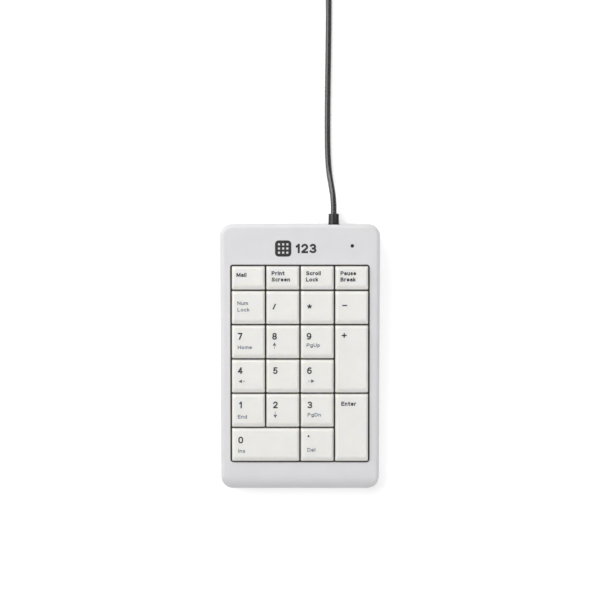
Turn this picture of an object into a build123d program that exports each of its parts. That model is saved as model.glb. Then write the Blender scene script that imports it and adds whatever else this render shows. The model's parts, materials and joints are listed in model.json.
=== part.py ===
"""A USB numeric keypad: a sloped two-part case, 21 keys over rubber domes, the electronics and the cord.

Millimetres. The origin is on the desk, under the middle of the case. +X is to the user's right, +Y is away
from the user and +Z is up. The keys and all that lies under them are drawn in the deck's own frame: u to the
right, v up the slope, w out of the deck, with w = 0 on the deck's surface. DECK places that frame.
"""

import os
from math import cos, pi, radians, sin, tan

from build123d import *

# ---- case ----
CASE_LENGTH = 147.0
REAR_WIDTH = 88.6
FRONT_WIDTH = 87.7
PLAN_CORNER = 6.6  # radius of the four upright corners
REAR_BOW = 0.4  # how far the rear edge bows out
DECK_SLOPE = 4.0  # degrees, lower at the front
DECK_MID_Z = 17.8  # height of the deck over the origin
EDGE_ROLL = 2.6  # radius round the deck's rim
FRONT_ROLL = 12.0  # radius of the roll along the deck's front
FRONT_ROLL_START = 7.5  # where the roll starts, from the front face
FRONT_ROLL_TURN = 42.0  # degrees
WALL = 2.0
SEAM_Z = 7.0  # where the two halves of the case meet
BASE_Z = 1.0  # underside of the case
BASE_ROLL = 2.2  # radius round the underside
FLOOR_TOP_Z = 3.0
LIP = 0.9  # thickness of the lip that lines up the halves
LIP_HEIGHT = 1.2
LIP_GAP = 0.1
SEAM_BREAK = 0.2  # chamfer on both halves along the seam
BOSS_R = 3.0  # round each case screw, in the top case
FLOOR_BOSS_R = 3.8  # the same, in the bottom case
BOARD_POST_R = 2.5
RIB = 1.6  # thickness of the floor's ribs under the steel plate
RIB_LENGTH = 96.0
BORE_R = 2.7  # of the hole for the strain relief

# ---- key grid, in the deck's frame ----
PITCH = 19.05
SHORT_ROW = 13.69  # depth of the rearmost row
GRID_FRONT = -58.7
COLUMNS = 4
WELL_GAP = 0.45  # from the grid's edge to the well's wall
WELL_CORNER = 1.6
WELL_BEVEL = 0.35
SKIRT_WALL = 1.2  # wall that hangs round the well

# ---- keycaps ----
CAP_GAP = 0.65  # between neighbouring caps
CAP_TOP = 2.4
CAP_SHOULDER = 1.0  # where the steep skirt turns into the sloping shoulder
CAP_SKIRT = -2.4  # underside of the cap's walls
CAP_WALL = 1.0
CAP_ROOF = 1.2
CAP_THINNING = 0.6  # how much lower the inside turns in than the outside
CAP_CORNER = 0.7
CAP_TOP_CORNER = 1.5
CAP_ROUND = 0.45  # round the top face
SKIRT_LEAN = 0.2  # how far each side leans in up to the shoulder
FLANK_SIDE = 1.3  # and up to the top face
FLANK_FRONT = 2.6
FLANK_REAR = 1.1
DISH = 0.3  # depth of the hollow across the top face
TRAVEL = 2.5
STEM_V = (FLANK_FRONT - FLANK_REAR) / 2  # the stem is under the middle of the top face
STEM_R = 2.5
STEM_BORE_R = 1.2
STEM_BOTTOM = -5.4
HOOK_REACH = 0.6  # how far the stem's two hooks stand out
HOOK_WIDTH = 1.2
HOOK_HEIGHT = 0.9

# ---- key frame ----
FRAME_TOP = -5.3
FRAME_BOTTOM = -6.6
CHIMNEY_TOP = -1.6
CHIMNEY_R = 3.4
CHIMNEY_BORE_R = 2.6
DOME_ROOM_R = 3.3  # the bore's wide lower end
FRAME_RIM = 1.6
FRAME_BOSS_R = 2.2

# ---- dome mat, membrane and backing plate ----
MAT_TOP = -8.6
MAT_BASE = 0.6
SHEET = 0.15
DOME_BASE_R = 4.0
DOME_NECK_R = 2.6
DOME_TOP_R = 2.3
DOME_WALL = 0.6
DOME_FLARE = 1.9  # height of the dome's sloped part
CONTACT_HOLE_R = 2.5
CENTRE_POST_R = 1.0  # the post inside each dome that presses the contacts together
SCREW_HOLE_R = 2.4  # in the mat and the sheets, round the plate screws
PLATE = 0.8
PLATE_FLANGE = 3.0
PLATE_SCREW_R = 0.8
PLATE_SCREW_TIP = -6.0
PLATE_HEAD_R = 1.9
PLATE_HEAD = 1.05  # thickness of the head
STACK_CORNER = 2.5  # of the key frame and the steel plate, in plan
SHEET_CORNER = 2.0  # of the mat and the sheets

# ---- stabiliser wires of the long keys ----
WIRE_R = 0.6
ARM = 8.0
ARM_U = 12.5
TIP_U = 15.2
WIRE_BEND = 1.1
WIRE_AXIS_W = -3.2
WIRE_SWING = 9.0  # degrees up at rest, and down when pressed
BAR_V = 5.0
CLIP_U = 8.5
CLIP_R = 0.85
LUG_R = 0.7

# ---- electronics ----
BOARD_SIZE = (64.0, 16.0, 1.2)
BOARD_V = 61.5
TAIL_SIZE = (18.0, 9.0)
TAIL_U = -3.0
LIGHT_U = 28.9
LIGHT_V = 61.15
LENS_R = 0.95
LENS_COLLAR_R = 1.6
LAMP_R = 1.5
LEAD_PITCH = 2.54
BOARD_POSTS = [(-27.0, 65.5), (20.0, 65.5)]
BOARD_SCREW_R = 1.0
CLAMP_SCREWS = [(-14.2, 56.5), (8.2, 56.5)]
CLAMP_SCREW_R = 0.9
CLAMP_THICKNESS = 2.2
SMALL_HEAD = 1.2  # thickness of the heads of the screws on the board
SMALL_SLOT = (2.2, 0.5)
SLOT_DEPTH = 0.5
CHIP_PLACE = (-6.0, 63.0)
CHIP_SIZE = (12.8, 7.5, 2.3)
CHIP_PITCH = 1.27
CHIP_SIDE_LEADS = 10
CRYSTAL_PLACE = (-22.0, 59.5)
CHIP_PART = (2.0, 1.25, 0.6)  # a chip resistor or capacitor
HEADER_V = 59.0
HEADER_DEPTH = 2.25  # from the board's underside to the middle of the header
HEADER_SIZE = (7.0, 11.0, 4.5)
HEADER_POCKET = (8.8, 3.3)
HEADER_U = 9.5
PINS = 4
PIN_PITCH = 2.0
PIN_WIDTH = 0.6
CONNECTOR_BACK = 8.4
CONNECTOR_FACE = 15.5
CORE_R = 0.26  # of each insulated wire in the cord

# ---- fixings ----
CASE_SCREWS = [(-36.3, 65.3), (36.3, 65.3), (-36.0, -65.8), (36.0, -65.8)]
CASE_SCREW_R = 1.3
CASE_HEAD_R = 2.5
CASE_HEAD_LOW = 2.4  # the head's height over the desk, and its seat's
CASE_HEAD_SEAT = 4.2
CASE_SCREW_TIP = 10.2
FEET = [(-35.0, 53.0), (35.0, 53.0), (-35.0, -53.5), (35.0, -53.5)]
FOOT_R = 4.5
FOOT_SUNK = 0.6

# ---- cord ----
CORD_R = 1.65
EXIT_X = 18.8
EXIT_Z = SEAM_Z
RELIEF_OUT = 5.65  # how far the strain relief stands out of the rear wall
RELIEF_IN = 4.2  # how far its nose reaches in from the wall
RELIEF_R = 3.05  # where the taper leaves the wall
RELIEF_FLANGE_R = 3.9
RELIEF_FLUTES = 8
FLUTE = 1.0  # width of each flute
FLUTE_DEPTH = 0.4
RELIEF_POCKET = 0.8  # depth of the recess in the rear wall that the taper stands in
COIL_R = 18.6  # to the middle of the turns
COIL_COLUMNS = 3
COIL_LAYERS = 4
COIL_STEP = 3.35  # between turns
COIL_BASE = 0.5
COIL_Y = 229.5
COIL_RIGHT_X = 15.6  # middle of the outer turns, at the coil's right
TIE = 0.4  # thickness of the wire tie
TIE_WIDTH = 3.0
TWIST_R = 0.8
TWIST_LENGTH = 7.0

# ---- plug ----
PLUG_Z = 4.2
PLUG_BACK = 9.4  # from the middle of the coil's turns to the plug's axis
PLUG_LEFT = 12.0  # from the coil's middle to the plug's nose
NOSE = 9.0
NOSE_GROOVES = 3
GROOVE_PITCH = 2.2
BODY_SIZE = (22.0, 16.0, 8.0)
SHELL_SIZE = (12.0, 4.5)
SHELL_OUT = 11.9
SHELL_SUNK = 4.0
SHELL_WALL = 0.3
WINDOW_SIZE = (2.4, 2.2)
WINDOW_U = 2.9
LEDGE = 1.9  # thickness of the tongue's ledge
CONTACTS = ((-3.5, 8.9), (-1.0, 7.9), (1.0, 7.9), (3.5, 8.9))  # each strip's place across and its length

SLOPE = radians(DECK_SLOPE)
DECK = Location((0, 0, DECK_MID_Z), (DECK_SLOPE, 0, 0))
ROW_EDGES = [GRID_FRONT + PITCH * row for row in range(6)]
ROW_EDGES.append(ROW_EDGES[-1] + SHORT_ROW)
COLUMN_EDGES = [PITCH * (column - COLUMNS / 2) for column in range(COLUMNS + 1)]
WELL_SIZE = (COLUMNS * PITCH + 2 * WELL_GAP, ROW_EDGES[-1] - ROW_EDGES[0] + 2 * WELL_GAP)
WELL_V = (ROW_EDGES[0] + ROW_EDGES[-1]) / 2
STACK_SIZE = (WELL_SIZE[0] + 3.0, WELL_SIZE[1] + 3.0)
MAT_BOTTOM = MAT_TOP - MAT_BASE
PLATE_TOP = MAT_BOTTOM - 3 * SHEET
PLATE_BOTTOM = PLATE_TOP - PLATE
BOARD_TOP = PLATE_TOP
BOARD_BOTTOM = BOARD_TOP - BOARD_SIZE[2]
HEADER_W = BOARD_BOTTOM - HEADER_DEPTH
REAR_Y = CASE_LENGTH / 2
RELIEF_INNER_Y = REAR_Y - WALL - RELIEF_IN
RELIEF_END_Y = REAR_Y + RELIEF_OUT
WIRE_AXIS_V = BAR_V - ARM * cos(radians(WIRE_SWING))
WIRE_BAR_W = WIRE_AXIS_W + ARM * sin(radians(WIRE_SWING))
PLATE_SCREWS = [(u, ROW_EDGES[row]) for u in (-PITCH, 0, PITCH) for row in (1, 3, 5)]
COIL_TURN_R = COIL_R + COIL_STEP * (COIL_COLUMNS - 1) / 2  # radius of the outer turns
COIL_OUTER_R = COIL_TURN_R + CORD_R
COIL_INNER_R = 2 * COIL_R - COIL_OUTER_R
COIL_HEIGHT = COIL_STEP * (COIL_LAYERS - 1) + 2 * CORD_R
COIL_LOW_Z = COIL_BASE + CORD_R
COIL_HIGH_Z = COIL_LOW_Z + COIL_STEP * (COIL_LAYERS - 1)
COIL_X = COIL_RIGHT_X - COIL_TURN_R
PLUG_Y = COIL_Y + COIL_R + PLUG_BACK
PLUG_NOSE_X = COIL_X - PLUG_LEFT

# name: first column, first row, columns, rows. Row 0 is nearest the user.
KEYS = {
    "key_0": (0, 0, 2, 1),
    "key_decimal": (2, 0, 1, 1),
    "key_enter": (3, 0, 1, 2),
    "key_1": (0, 1, 1, 1),
    "key_2": (1, 1, 1, 1),
    "key_3": (2, 1, 1, 1),
    "key_4": (0, 2, 1, 1),
    "key_5": (1, 2, 1, 1),
    "key_6": (2, 2, 1, 1),
    "key_plus": (3, 2, 1, 2),
    "key_7": (0, 3, 1, 1),
    "key_8": (1, 3, 1, 1),
    "key_9": (2, 3, 1, 1),
    "key_num_lock": (0, 4, 1, 1),
    "key_divide": (1, 4, 1, 1),
    "key_multiply": (2, 4, 1, 1),
    "key_minus": (3, 4, 1, 1),
    "key_mail": (0, 5, 1, 1),
    "key_print_screen": (1, 5, 1, 1),
    "key_scroll_lock": (2, 5, 1, 1),
    "key_pause": (3, 5, 1, 1),
}
STABILISERS = {"stabiliser_zero": "key_0", "stabiliser_enter": "key_enter", "stabiliser_plus": "key_plus"}


def key_place(name):
    """A key's middle and size in the deck's frame: u, v, width, length."""
    column, row, columns, rows = KEYS[name]
    left, right = COLUMN_EDGES[column], COLUMN_EDGES[column + columns]
    front, rear = ROW_EDGES[row], ROW_EDGES[row + rows]
    return (left + right) / 2, (front + rear) / 2, right - left - CAP_GAP, rear - front - CAP_GAP


def is_long(name):
    return KEYS[name][2] > 1 or KEYS[name][3] > 1


def long_key_frame(name):
    """Places a drawing made for a key that is long across u onto a long key of either direction."""
    u, v, width, length = key_place(name)
    return Pos(u, v, 0) * Rot(0, 0, 90 if length > width else 0)


def disc(u, v, low, high, radius):
    """An upright cylinder between two heights."""
    return Pos(u, v, (low + high) / 2) * Cylinder(radius, high - low)


def block(u, v, low, high, width, length):
    """An upright box between two heights."""
    return Pos(u, v, (low + high) / 2) * Box(width, length, high - low)


def rounded_block(u, v, low, high, width, length, radius):
    return Pos(u, v, low) * extrude(RectangleRounded(width, length, radius), high - low)


# ---- case ----


def case_outline(inset=0.0):
    """The case's plan outline, drawn in by inset: a slight taper, a bowed rear edge and round corners."""
    end = CASE_LENGTH / 2 - inset
    rear, front = REAR_WIDTH / 2 - inset, FRONT_WIDTH / 2 - inset
    face = make_face(
        [
            ThreePointArc((rear, end - REAR_BOW), (0, end), (-rear, end - REAR_BOW)),
            Line((-rear, end - REAR_BOW), (-front, -end)),
            Line((-front, -end), (front, -end)),
            Line((front, -end), (rear, end - REAR_BOW)),
        ]
    )
    return fillet(face.vertices(), PLAN_CORNER - inset)


def deck_point(y, drop):
    """The point (y, z) under place y of the deck's plane, lowered by drop along its normal."""
    return y + drop * sin(SLOPE), DECK_MID_Z + y * tan(SLOPE) - drop * cos(SLOPE)


def side_profile(inset):
    """The case seen from the side, drawn in by inset at the top only: the sloped deck and its front roll."""
    beyond = CASE_LENGTH / 2 + 10
    roll_start = FRONT_ROLL_START - CASE_LENGTH / 2
    centre = deck_point(roll_start, FRONT_ROLL)
    last = radians(90 + DECK_SLOPE + FRONT_ROLL_TURN)
    radius = FRONT_ROLL - inset
    end = (centre[0] + radius * cos(last), centre[1] + radius * sin(last))
    down = (end[0] - FRONT_ROLL * sin(last), end[1] + FRONT_ROLL * cos(last))
    rear_top = deck_point(beyond, inset)
    return make_face(
        [
            Line((down[0], -1), (rear_top[0], -1)),
            Line((rear_top[0], -1), rear_top),
            Line(rear_top, deck_point(roll_start, inset)),
            CenterArc(centre, radius, 90 + DECK_SLOPE, FRONT_ROLL_TURN),
            Line(end, down),
            Line(down, (down[0], -1)),
        ]
    )


def is_rim(edge):
    """Whether an edge of the case's block runs round the rim of its deck."""
    along = edge.tangent_at(0.5)
    upright = abs(along.Z) > 0.9
    across = abs(along.X) > 0.999 and abs(edge.center().Y) < CASE_LENGTH / 2 - WALL - 1
    return edge.center().Z > SEAM_Z and not upright and not across


def case_block(inset, roll):
    """All that the case's outer surface holds, drawn in by inset, above the plane z = 0."""
    profile = extrude(Plane.YZ * side_profile(inset), REAR_WIDTH, both=True)
    body = extrude(case_outline(inset), 2 * DECK_MID_Z) & profile
    return fillet([edge for edge in body.edges() if is_rim(edge)], roll)


def well_block(grow, low, high):
    """The key well's shape in the deck's frame, grown by grow."""
    width, length = WELL_SIZE[0] + 2 * grow, WELL_SIZE[1] + 2 * grow
    return rounded_block(0, WELL_V, low, high, width, length, WELL_CORNER + grow)


def well_bevel():
    """The flare round the well's mouth."""
    low, high = -WELL_BEVEL, 1.0
    sections = []
    for w in (low, high):
        grow = w - low
        outline = RectangleRounded(WELL_SIZE[0] + 2 * grow, WELL_SIZE[1] + 2 * grow, WELL_CORNER + grow)
        sections.append(Pos(0, WELL_V, w) * outline)
    return loft(sections, ruled=True)


def cable_bore():
    """The hole along Y through the rear wall, where the strain relief sits."""
    return Pos(EXIT_X, REAR_Y, EXIT_Z) * Rot(90, 0, 0) * Cylinder(BORE_R, 6 * WALL)


def relief_pocket():
    """The shallow recess in the rear wall round the strain relief, open at the deck."""
    half = RELIEF_R + 0.2
    ring = Pos(EXIT_X, REAR_Y, EXIT_Z) * Rot(90, 0, 0) * Cylinder(half, 2 * RELIEF_POCKET)
    return ring + block(EXIT_X, REAR_Y, EXIT_Z, 2 * DECK_MID_Z, 2 * half, 2 * RELIEF_POCKET)


def make_top_case():
    outer = case_block(0, EDGE_ROLL) - Pos(0, 0, SEAM_Z - 50) * Box(200, 200, 100)
    outer = chamfer(outer.faces().sort_by(Axis.Z)[0].edges(), SEAM_BREAK)
    shell = outer - case_block(WALL, EDGE_ROLL - WALL)
    skirt = DECK * (well_block(SKIRT_WALL, FRAME_TOP, -WALL / 2) - well_block(0, FRAME_TOP - 1, 1))
    bosses = [disc(x, y, SEAM_Z, 2 * DECK_MID_Z, BOSS_R) for x, y in CASE_SCREWS]
    posts = [DECK * disc(u, v, BOARD_TOP, 0, BOARD_POST_R) for u, v in BOARD_POSTS]
    shell += [solid & case_block(WALL / 2, EDGE_ROLL - WALL / 2) for solid in bosses + posts]
    shell += skirt
    shell -= DECK * (well_block(0, -WALL - 1, 1) + well_bevel())
    shell -= DECK * disc(LIGHT_U, LIGHT_V, -WALL - 1, 1, LENS_R + 0.05)
    shell -= [disc(x, y, SEAM_Z, CASE_SCREW_TIP + 0.4, CASE_SCREW_R - 0.15) for x, y in CASE_SCREWS]
    shell -= [DECK * disc(u, v, BOARD_TOP, BOARD_TOP + 6, BOARD_SCREW_R - 0.15) for u, v in BOARD_POSTS]
    rebate = extrude(case_outline(WALL - LIP - LIP_GAP), LIP_HEIGHT + LIP_GAP)
    shell -= Pos(0, 0, SEAM_Z) * (rebate - extrude(case_outline(WALL), LIP_HEIGHT + 1))
    return shell - cable_bore() - relief_pocket()


def make_bottom_case():
    tray = extrude(case_outline(), SEAM_Z - BASE_Z)
    tray = fillet(tray.faces().sort_by(Axis.Z)[0].edges(), BASE_ROLL)
    tray = chamfer(tray.faces().sort_by(Axis.Z)[-1].edges(), SEAM_BREAK)
    tray = Pos(0, 0, BASE_Z) * tray
    tray -= Pos(0, 0, FLOOR_TOP_Z) * extrude(case_outline(WALL), SEAM_Z)
    lip = extrude(case_outline(WALL - LIP), LIP_HEIGHT + 1) - extrude(case_outline(WALL), LIP_HEIGHT + 1)
    tray += Pos(0, 0, SEAM_Z - 1) * lip
    bosses = [disc(x, y, BASE_Z + 1, SEAM_Z, FLOOR_BOSS_R) for x, y in CASE_SCREWS]
    tray += [boss & extrude(case_outline(1), 2 * SEAM_Z) for boss in bosses]
    under_plate = DECK * block(0, 0, PLATE_BOTTOM - 60, PLATE_BOTTOM, 200, 200)
    for u in (-1.5 * PITCH, -0.5 * PITCH, 0.5 * PITCH, 1.5 * PITCH):
        rib = block(u, -2.0, FLOOR_TOP_Z - 0.5, 2 * SEAM_Z, RIB, RIB_LENGTH)
        tray += rib & under_plate
    tray -= [disc(x, y, 0, SEAM_Z + 1, CASE_SCREW_R + 0.2) for x, y in CASE_SCREWS]
    tray -= [disc(x, y, 0, CASE_HEAD_SEAT, CASE_HEAD_R + 0.3) for x, y in CASE_SCREWS]
    tray -= [disc(x, y, 0, BASE_Z + FOOT_SUNK, FOOT_R + 0.1) for x, y in FEET]
    return tray - cable_bore() - relief_pocket()


def make_case_screws():
    """Four self-tapping screws with cross recesses, put in from below."""
    screws = []
    for x, y in CASE_SCREWS:
        head = disc(x, y, CASE_HEAD_LOW, CASE_HEAD_SEAT, CASE_HEAD_R)
        head = fillet(head.faces().sort_by(Axis.Z)[0].edges(), 0.5)
        screw = head + disc(x, y, CASE_HEAD_SEAT, CASE_SCREW_TIP, CASE_SCREW_R)
        for turn in (0, 90):
            screw -= Pos(x, y, CASE_HEAD_LOW) * Rot(0, 0, turn) * Box(2.8, 0.7, 1.8)
        screws.append(screw)
    return screws


def make_rubber_feet():
    feet = []
    for x, y in FEET:
        foot = disc(x, y, 0, BASE_Z + FOOT_SUNK, FOOT_R)
        feet.append(chamfer(foot.faces().sort_by(Axis.Z)[0].edges(), 0.3))
    return feet


# ---- keys, in the deck's frame ----


def lean(w, whole):
    """How far a cap's side that leans in by whole has leaned in at height w: little up to the shoulder."""
    if w <= CAP_SHOULDER:
        return SKIRT_LEAN * (w - CAP_SKIRT) / (CAP_SHOULDER - CAP_SKIRT)
    return SKIRT_LEAN + (whole - SKIRT_LEAN) * (w - CAP_SHOULDER) / (CAP_TOP - CAP_SHOULDER)


def cap_section(width, length, inset, w, lowered):
    """A keycap's outline at height w, drawn in by inset, with all above the skirt moved down by lowered."""
    level = w + lowered if w > CAP_SKIRT else w
    front, rear, side = lean(level, FLANK_FRONT), lean(level, FLANK_REAR), lean(level, FLANK_SIDE)
    corner = CAP_CORNER + (CAP_TOP_CORNER - CAP_CORNER) * side / FLANK_SIDE - 0.6 * inset
    outline = RectangleRounded(width - 2 * side - 2 * inset, length - front - rear - 2 * inset, corner)
    return Pos(0, (front - rear) / 2, w) * outline


def cap_block(width, length, inset, top, lowered=0.0):
    """A keycap's closed outer shape drawn in by inset, up to the height top: skirt and sloping shoulder."""
    levels = (CAP_SKIRT, CAP_SHOULDER - lowered, top)
    return loft([cap_section(width, length, inset, w, lowered) for w in levels], ruled=True)


def cap_dish(width, length):
    """The cylinder that hollows the top face across u by DISH, whatever the cap's width."""
    half = width / 2 - FLANK_SIDE
    radius = (half**2 + DISH**2) / (2 * DISH)
    return Pos(0, 0, CAP_TOP - DISH + radius) * Rot(90, 0, 0) * Cylinder(radius, 2 * length)


def cap_clip(u):
    """A split ring under the roof, which the stabiliser's bar snaps into."""
    low = WIRE_BAR_W - CLIP_R - 0.4
    clip = block(u, BAR_V, low, CAP_TOP - CAP_ROOF, 2.0, 2 * (CLIP_R + 0.8))
    clip -= Pos(u, BAR_V + 0.05, WIRE_BAR_W) * Rot(0, 90, 0) * Cylinder(CLIP_R, 3.0)
    return clip - block(u, BAR_V + 0.05, low - 1, WIRE_BAR_W, 3.0, 1.0)


def make_keycap(name):
    """A keycap with its stem and hooks, about the key's own middle."""
    width, length = key_place(name)[2:]
    cap = cap_block(width, length, 0, CAP_TOP) - cap_dish(width, length)
    top_face = cap.faces().sort_by(Axis.Z)[-1]
    cap = fillet(top_face.edges(), CAP_ROUND)
    roof = CAP_TOP - CAP_ROOF
    cap -= cap_block(width, length, CAP_WALL, roof, CAP_THINNING)
    stem = disc(0, STEM_V, STEM_BOTTOM, roof + 0.2, STEM_R)
    hook = block(0, STEM_V, STEM_BOTTOM, STEM_BOTTOM + HOOK_HEIGHT, 2 * (STEM_R + HOOK_REACH), HOOK_WIDTH)
    cap += stem + hook
    cap -= disc(0, STEM_V, STEM_BOTTOM - 1, 0, STEM_BORE_R)
    if is_long(name):
        turn = 90 if length > width else 0
        cap += [Rot(0, 0, turn) * cap_clip(u) for u in (-CLIP_U, CLIP_U)]
    return cap


def make_key_frame():
    """The black plate: a chimney for each stem, lugs for the stabilisers, bosses for the plate screws."""
    width, length = STACK_SIZE
    frame = rounded_block(0, WELL_V, MAT_TOP, FRAME_TOP, width, length, STACK_CORNER)
    frame -= block(0, WELL_V, MAT_TOP - 1, FRAME_BOTTOM, width - 2 * FRAME_RIM, length - 2 * FRAME_RIM)
    frame += [disc(u, v, MAT_TOP, FRAME_TOP - 0.5, FRAME_BOSS_R) for u, v in PLATE_SCREWS]
    frame -= [disc(u, v, MAT_TOP - 1, PLATE_SCREW_TIP + 0.1, PLATE_SCREW_R - 0.1) for u, v in PLATE_SCREWS]
    stems = [(u, v + STEM_V) for u, v, _, _ in map(key_place, KEYS)]
    frame += [disc(u, v, FRAME_BOTTOM, CHIMNEY_TOP, CHIMNEY_R) for u, v in stems]
    frame -= [disc(u, v, FRAME_BOTTOM - 1, CHIMNEY_TOP + 1, CHIMNEY_BORE_R) for u, v in stems]
    frame -= [disc(u, v, FRAME_BOTTOM - 1, STEM_BOTTOM - 0.2, DOME_ROOM_R) for u, v in stems]
    hook_top = STEM_BOTTOM + HOOK_HEIGHT
    hook_room = (2 * CHIMNEY_R + 0.4, HOOK_WIDTH + 0.4)
    frame -= [block(u, v, FRAME_BOTTOM - 1, hook_top, *hook_room) for u, v in stems]
    lug_u = (ARM_U + WIRE_R + LUG_R + TIP_U) / 2
    for key in STABILISERS.values():
        place = long_key_frame(key)
        for side in (-1, 1):
            lug = block(side * lug_u, WIRE_AXIS_V, FRAME_TOP - 0.5, WIRE_AXIS_W + 1.4, 1.2, 2.8)
            eye = Pos(side * lug_u, WIRE_AXIS_V, WIRE_AXIS_W) * Rot(0, 90, 0) * Cylinder(LUG_R, 3.0)
            slot = block(side * CLIP_U, BAR_V, FRAME_BOTTOM - 1, FRAME_TOP + 1, 2.6, 3.9)
            frame += place * lug
            frame -= place * eye
            frame -= place * slot
    return frame


def make_stabiliser(key):
    """A bent wire: two tips in the frame's lugs, two arms and a bar in the cap's clips."""
    route = [(-TIP_U, 0), (-ARM_U, 0), (-ARM_U, ARM), (ARM_U, ARM), (ARM_U, 0), (TIP_U, 0)]
    path = FilletPolyline(*route, radius=WIRE_BEND)
    section = Plane(origin=(-TIP_U, 0, 0), z_dir=(1, 0, 0)) * Circle(WIRE_R)
    wire = sweep(section, path)
    return long_key_frame(key) * Pos(0, WIRE_AXIS_V, WIRE_AXIS_W) * Rot(WIRE_SWING, 0, 0) * wire


def make_dome_mat():
    width, length = STACK_SIZE
    mat = rounded_block(0, WELL_V, MAT_BOTTOM, MAT_TOP, width - 1, length - 1, SHEET_CORNER)
    shoulder = MAT_TOP + DOME_FLARE
    inner_base, inner_neck = DOME_BASE_R - DOME_WALL, DOME_NECK_R - DOME_WALL
    for name in KEYS:
        u, v, _, _ = key_place(name)
        v += STEM_V
        flare = Pos(u, v, MAT_TOP + DOME_FLARE / 2) * Cone(DOME_BASE_R, DOME_NECK_R, DOME_FLARE)
        mat += flare + disc(u, v, shoulder, STEM_BOTTOM, DOME_TOP_R)
        hollow = Pos(u, v, MAT_TOP + DOME_FLARE / 2) * Cone(inner_base, inner_neck, DOME_FLARE)
        mat -= hollow + disc(u, v, MAT_BOTTOM - 1, MAT_TOP, inner_base)
        mat += disc(u, v, MAT_TOP + 0.3, shoulder + 0.2, CENTRE_POST_R)
    return mat - [disc(u, v, MAT_BOTTOM - 1, MAT_TOP + 1, SCREW_HOLE_R) for u, v in PLATE_SCREWS]


def make_sheet(top, contact_holes, tail):
    """One sheet of the membrane."""
    width, length = STACK_SIZE
    sheet = rounded_block(0, WELL_V, top - SHEET, top, width - 1, length - 1, SHEET_CORNER)
    if tail:
        rear = WELL_V + (length - 1) / 2
        sheet += block(TAIL_U, rear - 1 + TAIL_SIZE[1] / 2, top - SHEET, top, *TAIL_SIZE)
    holes = [disc(u, v, top - 1, top + 1, SCREW_HOLE_R) for u, v in PLATE_SCREWS]
    if contact_holes:
        for u, v, _, _ in map(key_place, KEYS):
            holes.append(disc(u, v + STEM_V, top - 1, top + 1, CONTACT_HOLE_R))
    return sheet - holes


def make_backplate():
    """The steel plate, with a turned-down flange along its rear edge that stiffens it."""
    width, length = STACK_SIZE
    plate = rounded_block(0, WELL_V, PLATE_BOTTOM, PLATE_TOP, width, length, STACK_CORNER)
    rear = WELL_V + length / 2
    plate += block(0, rear - PLATE / 2, PLATE_BOTTOM - PLATE_FLANGE, PLATE_TOP, width - 12.0, PLATE)
    hole_r = PLATE_SCREW_R + 0.2
    return plate - [disc(u, v, PLATE_BOTTOM - 1, PLATE_TOP + 1, hole_r) for u, v in PLATE_SCREWS]


def make_plate_screws():
    screws = []
    for u, v in PLATE_SCREWS:
        screw = disc(u, v, PLATE_BOTTOM - PLATE_HEAD, PLATE_BOTTOM, PLATE_HEAD_R)
        screw += disc(u, v, PLATE_BOTTOM, PLATE_SCREW_TIP, PLATE_SCREW_R)
        for turn in (0, 90):
            screw -= Pos(u, v, PLATE_BOTTOM - PLATE_HEAD) * Rot(0, 0, turn) * Box(*SMALL_SLOT, 1.0)
        screws.append(screw)
    return screws


# ---- electronics, in the deck's frame ----


def lamp_legs():
    return [LIGHT_U + side * LEAD_PITCH / 2 for side in (-1, 1)]


def make_board():
    board = block(0, BOARD_V, BOARD_BOTTOM, BOARD_TOP, BOARD_SIZE[0], BOARD_SIZE[1])
    board -= [disc(u, v, BOARD_BOTTOM - 1, BOARD_TOP + 1, BOARD_SCREW_R + 0.15) for u, v in BOARD_POSTS]
    board -= [disc(u, v, BOARD_BOTTOM - 1, BOARD_TOP + 1, CLAMP_SCREW_R - 0.1) for u, v in CLAMP_SCREWS]
    return board - [disc(u, LIGHT_V, BOARD_BOTTOM - 1, BOARD_TOP + 1, 0.4) for u in lamp_legs()]


def make_board_screws():
    screws = []
    for u, v in BOARD_POSTS:
        screw = disc(u, v, BOARD_BOTTOM - SMALL_HEAD, BOARD_BOTTOM, 1.9)
        screw += disc(u, v, BOARD_BOTTOM, BOARD_TOP + 5, BOARD_SCREW_R)
        slot_top = BOARD_BOTTOM - SMALL_HEAD + SLOT_DEPTH
        screws.append(screw - block(u, v, slot_top - 1, slot_top, *SMALL_SLOT))
    return screws


def make_clamp():
    """The bar that presses the membrane's tail onto the board's pads, standing on a foot at each end."""
    middle = (CLAMP_SCREWS[0][0] + CLAMP_SCREWS[1][0]) / 2
    low, high = BOARD_TOP + SHEET, BOARD_TOP + CLAMP_THICKNESS
    bar = block(middle, CLAMP_SCREWS[0][1], low, high, CLAMP_SCREWS[1][0] - CLAMP_SCREWS[0][0] + 4.0, 4.0)
    bar = fillet(bar.edges().filter_by(Axis.Z), 0.8)
    bar += [block(u, v, BOARD_TOP, low, 3.6, 3.6) for u, v in CLAMP_SCREWS]
    return bar - [disc(u, v, BOARD_TOP - 1, high + 1, CLAMP_SCREW_R + 0.15) for u, v in CLAMP_SCREWS]


def make_clamp_screws():
    screws = []
    high = BOARD_TOP + CLAMP_THICKNESS
    for u, v in CLAMP_SCREWS:
        screw = disc(u, v, high, high + SMALL_HEAD, 1.8) + disc(u, v, BOARD_BOTTOM, high, CLAMP_SCREW_R)
        slot_bottom = high + SMALL_HEAD - SLOT_DEPTH - 0.1
        screws.append(screw - block(u, v, slot_bottom, slot_bottom + 1, *SMALL_SLOT))
    return screws


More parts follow.
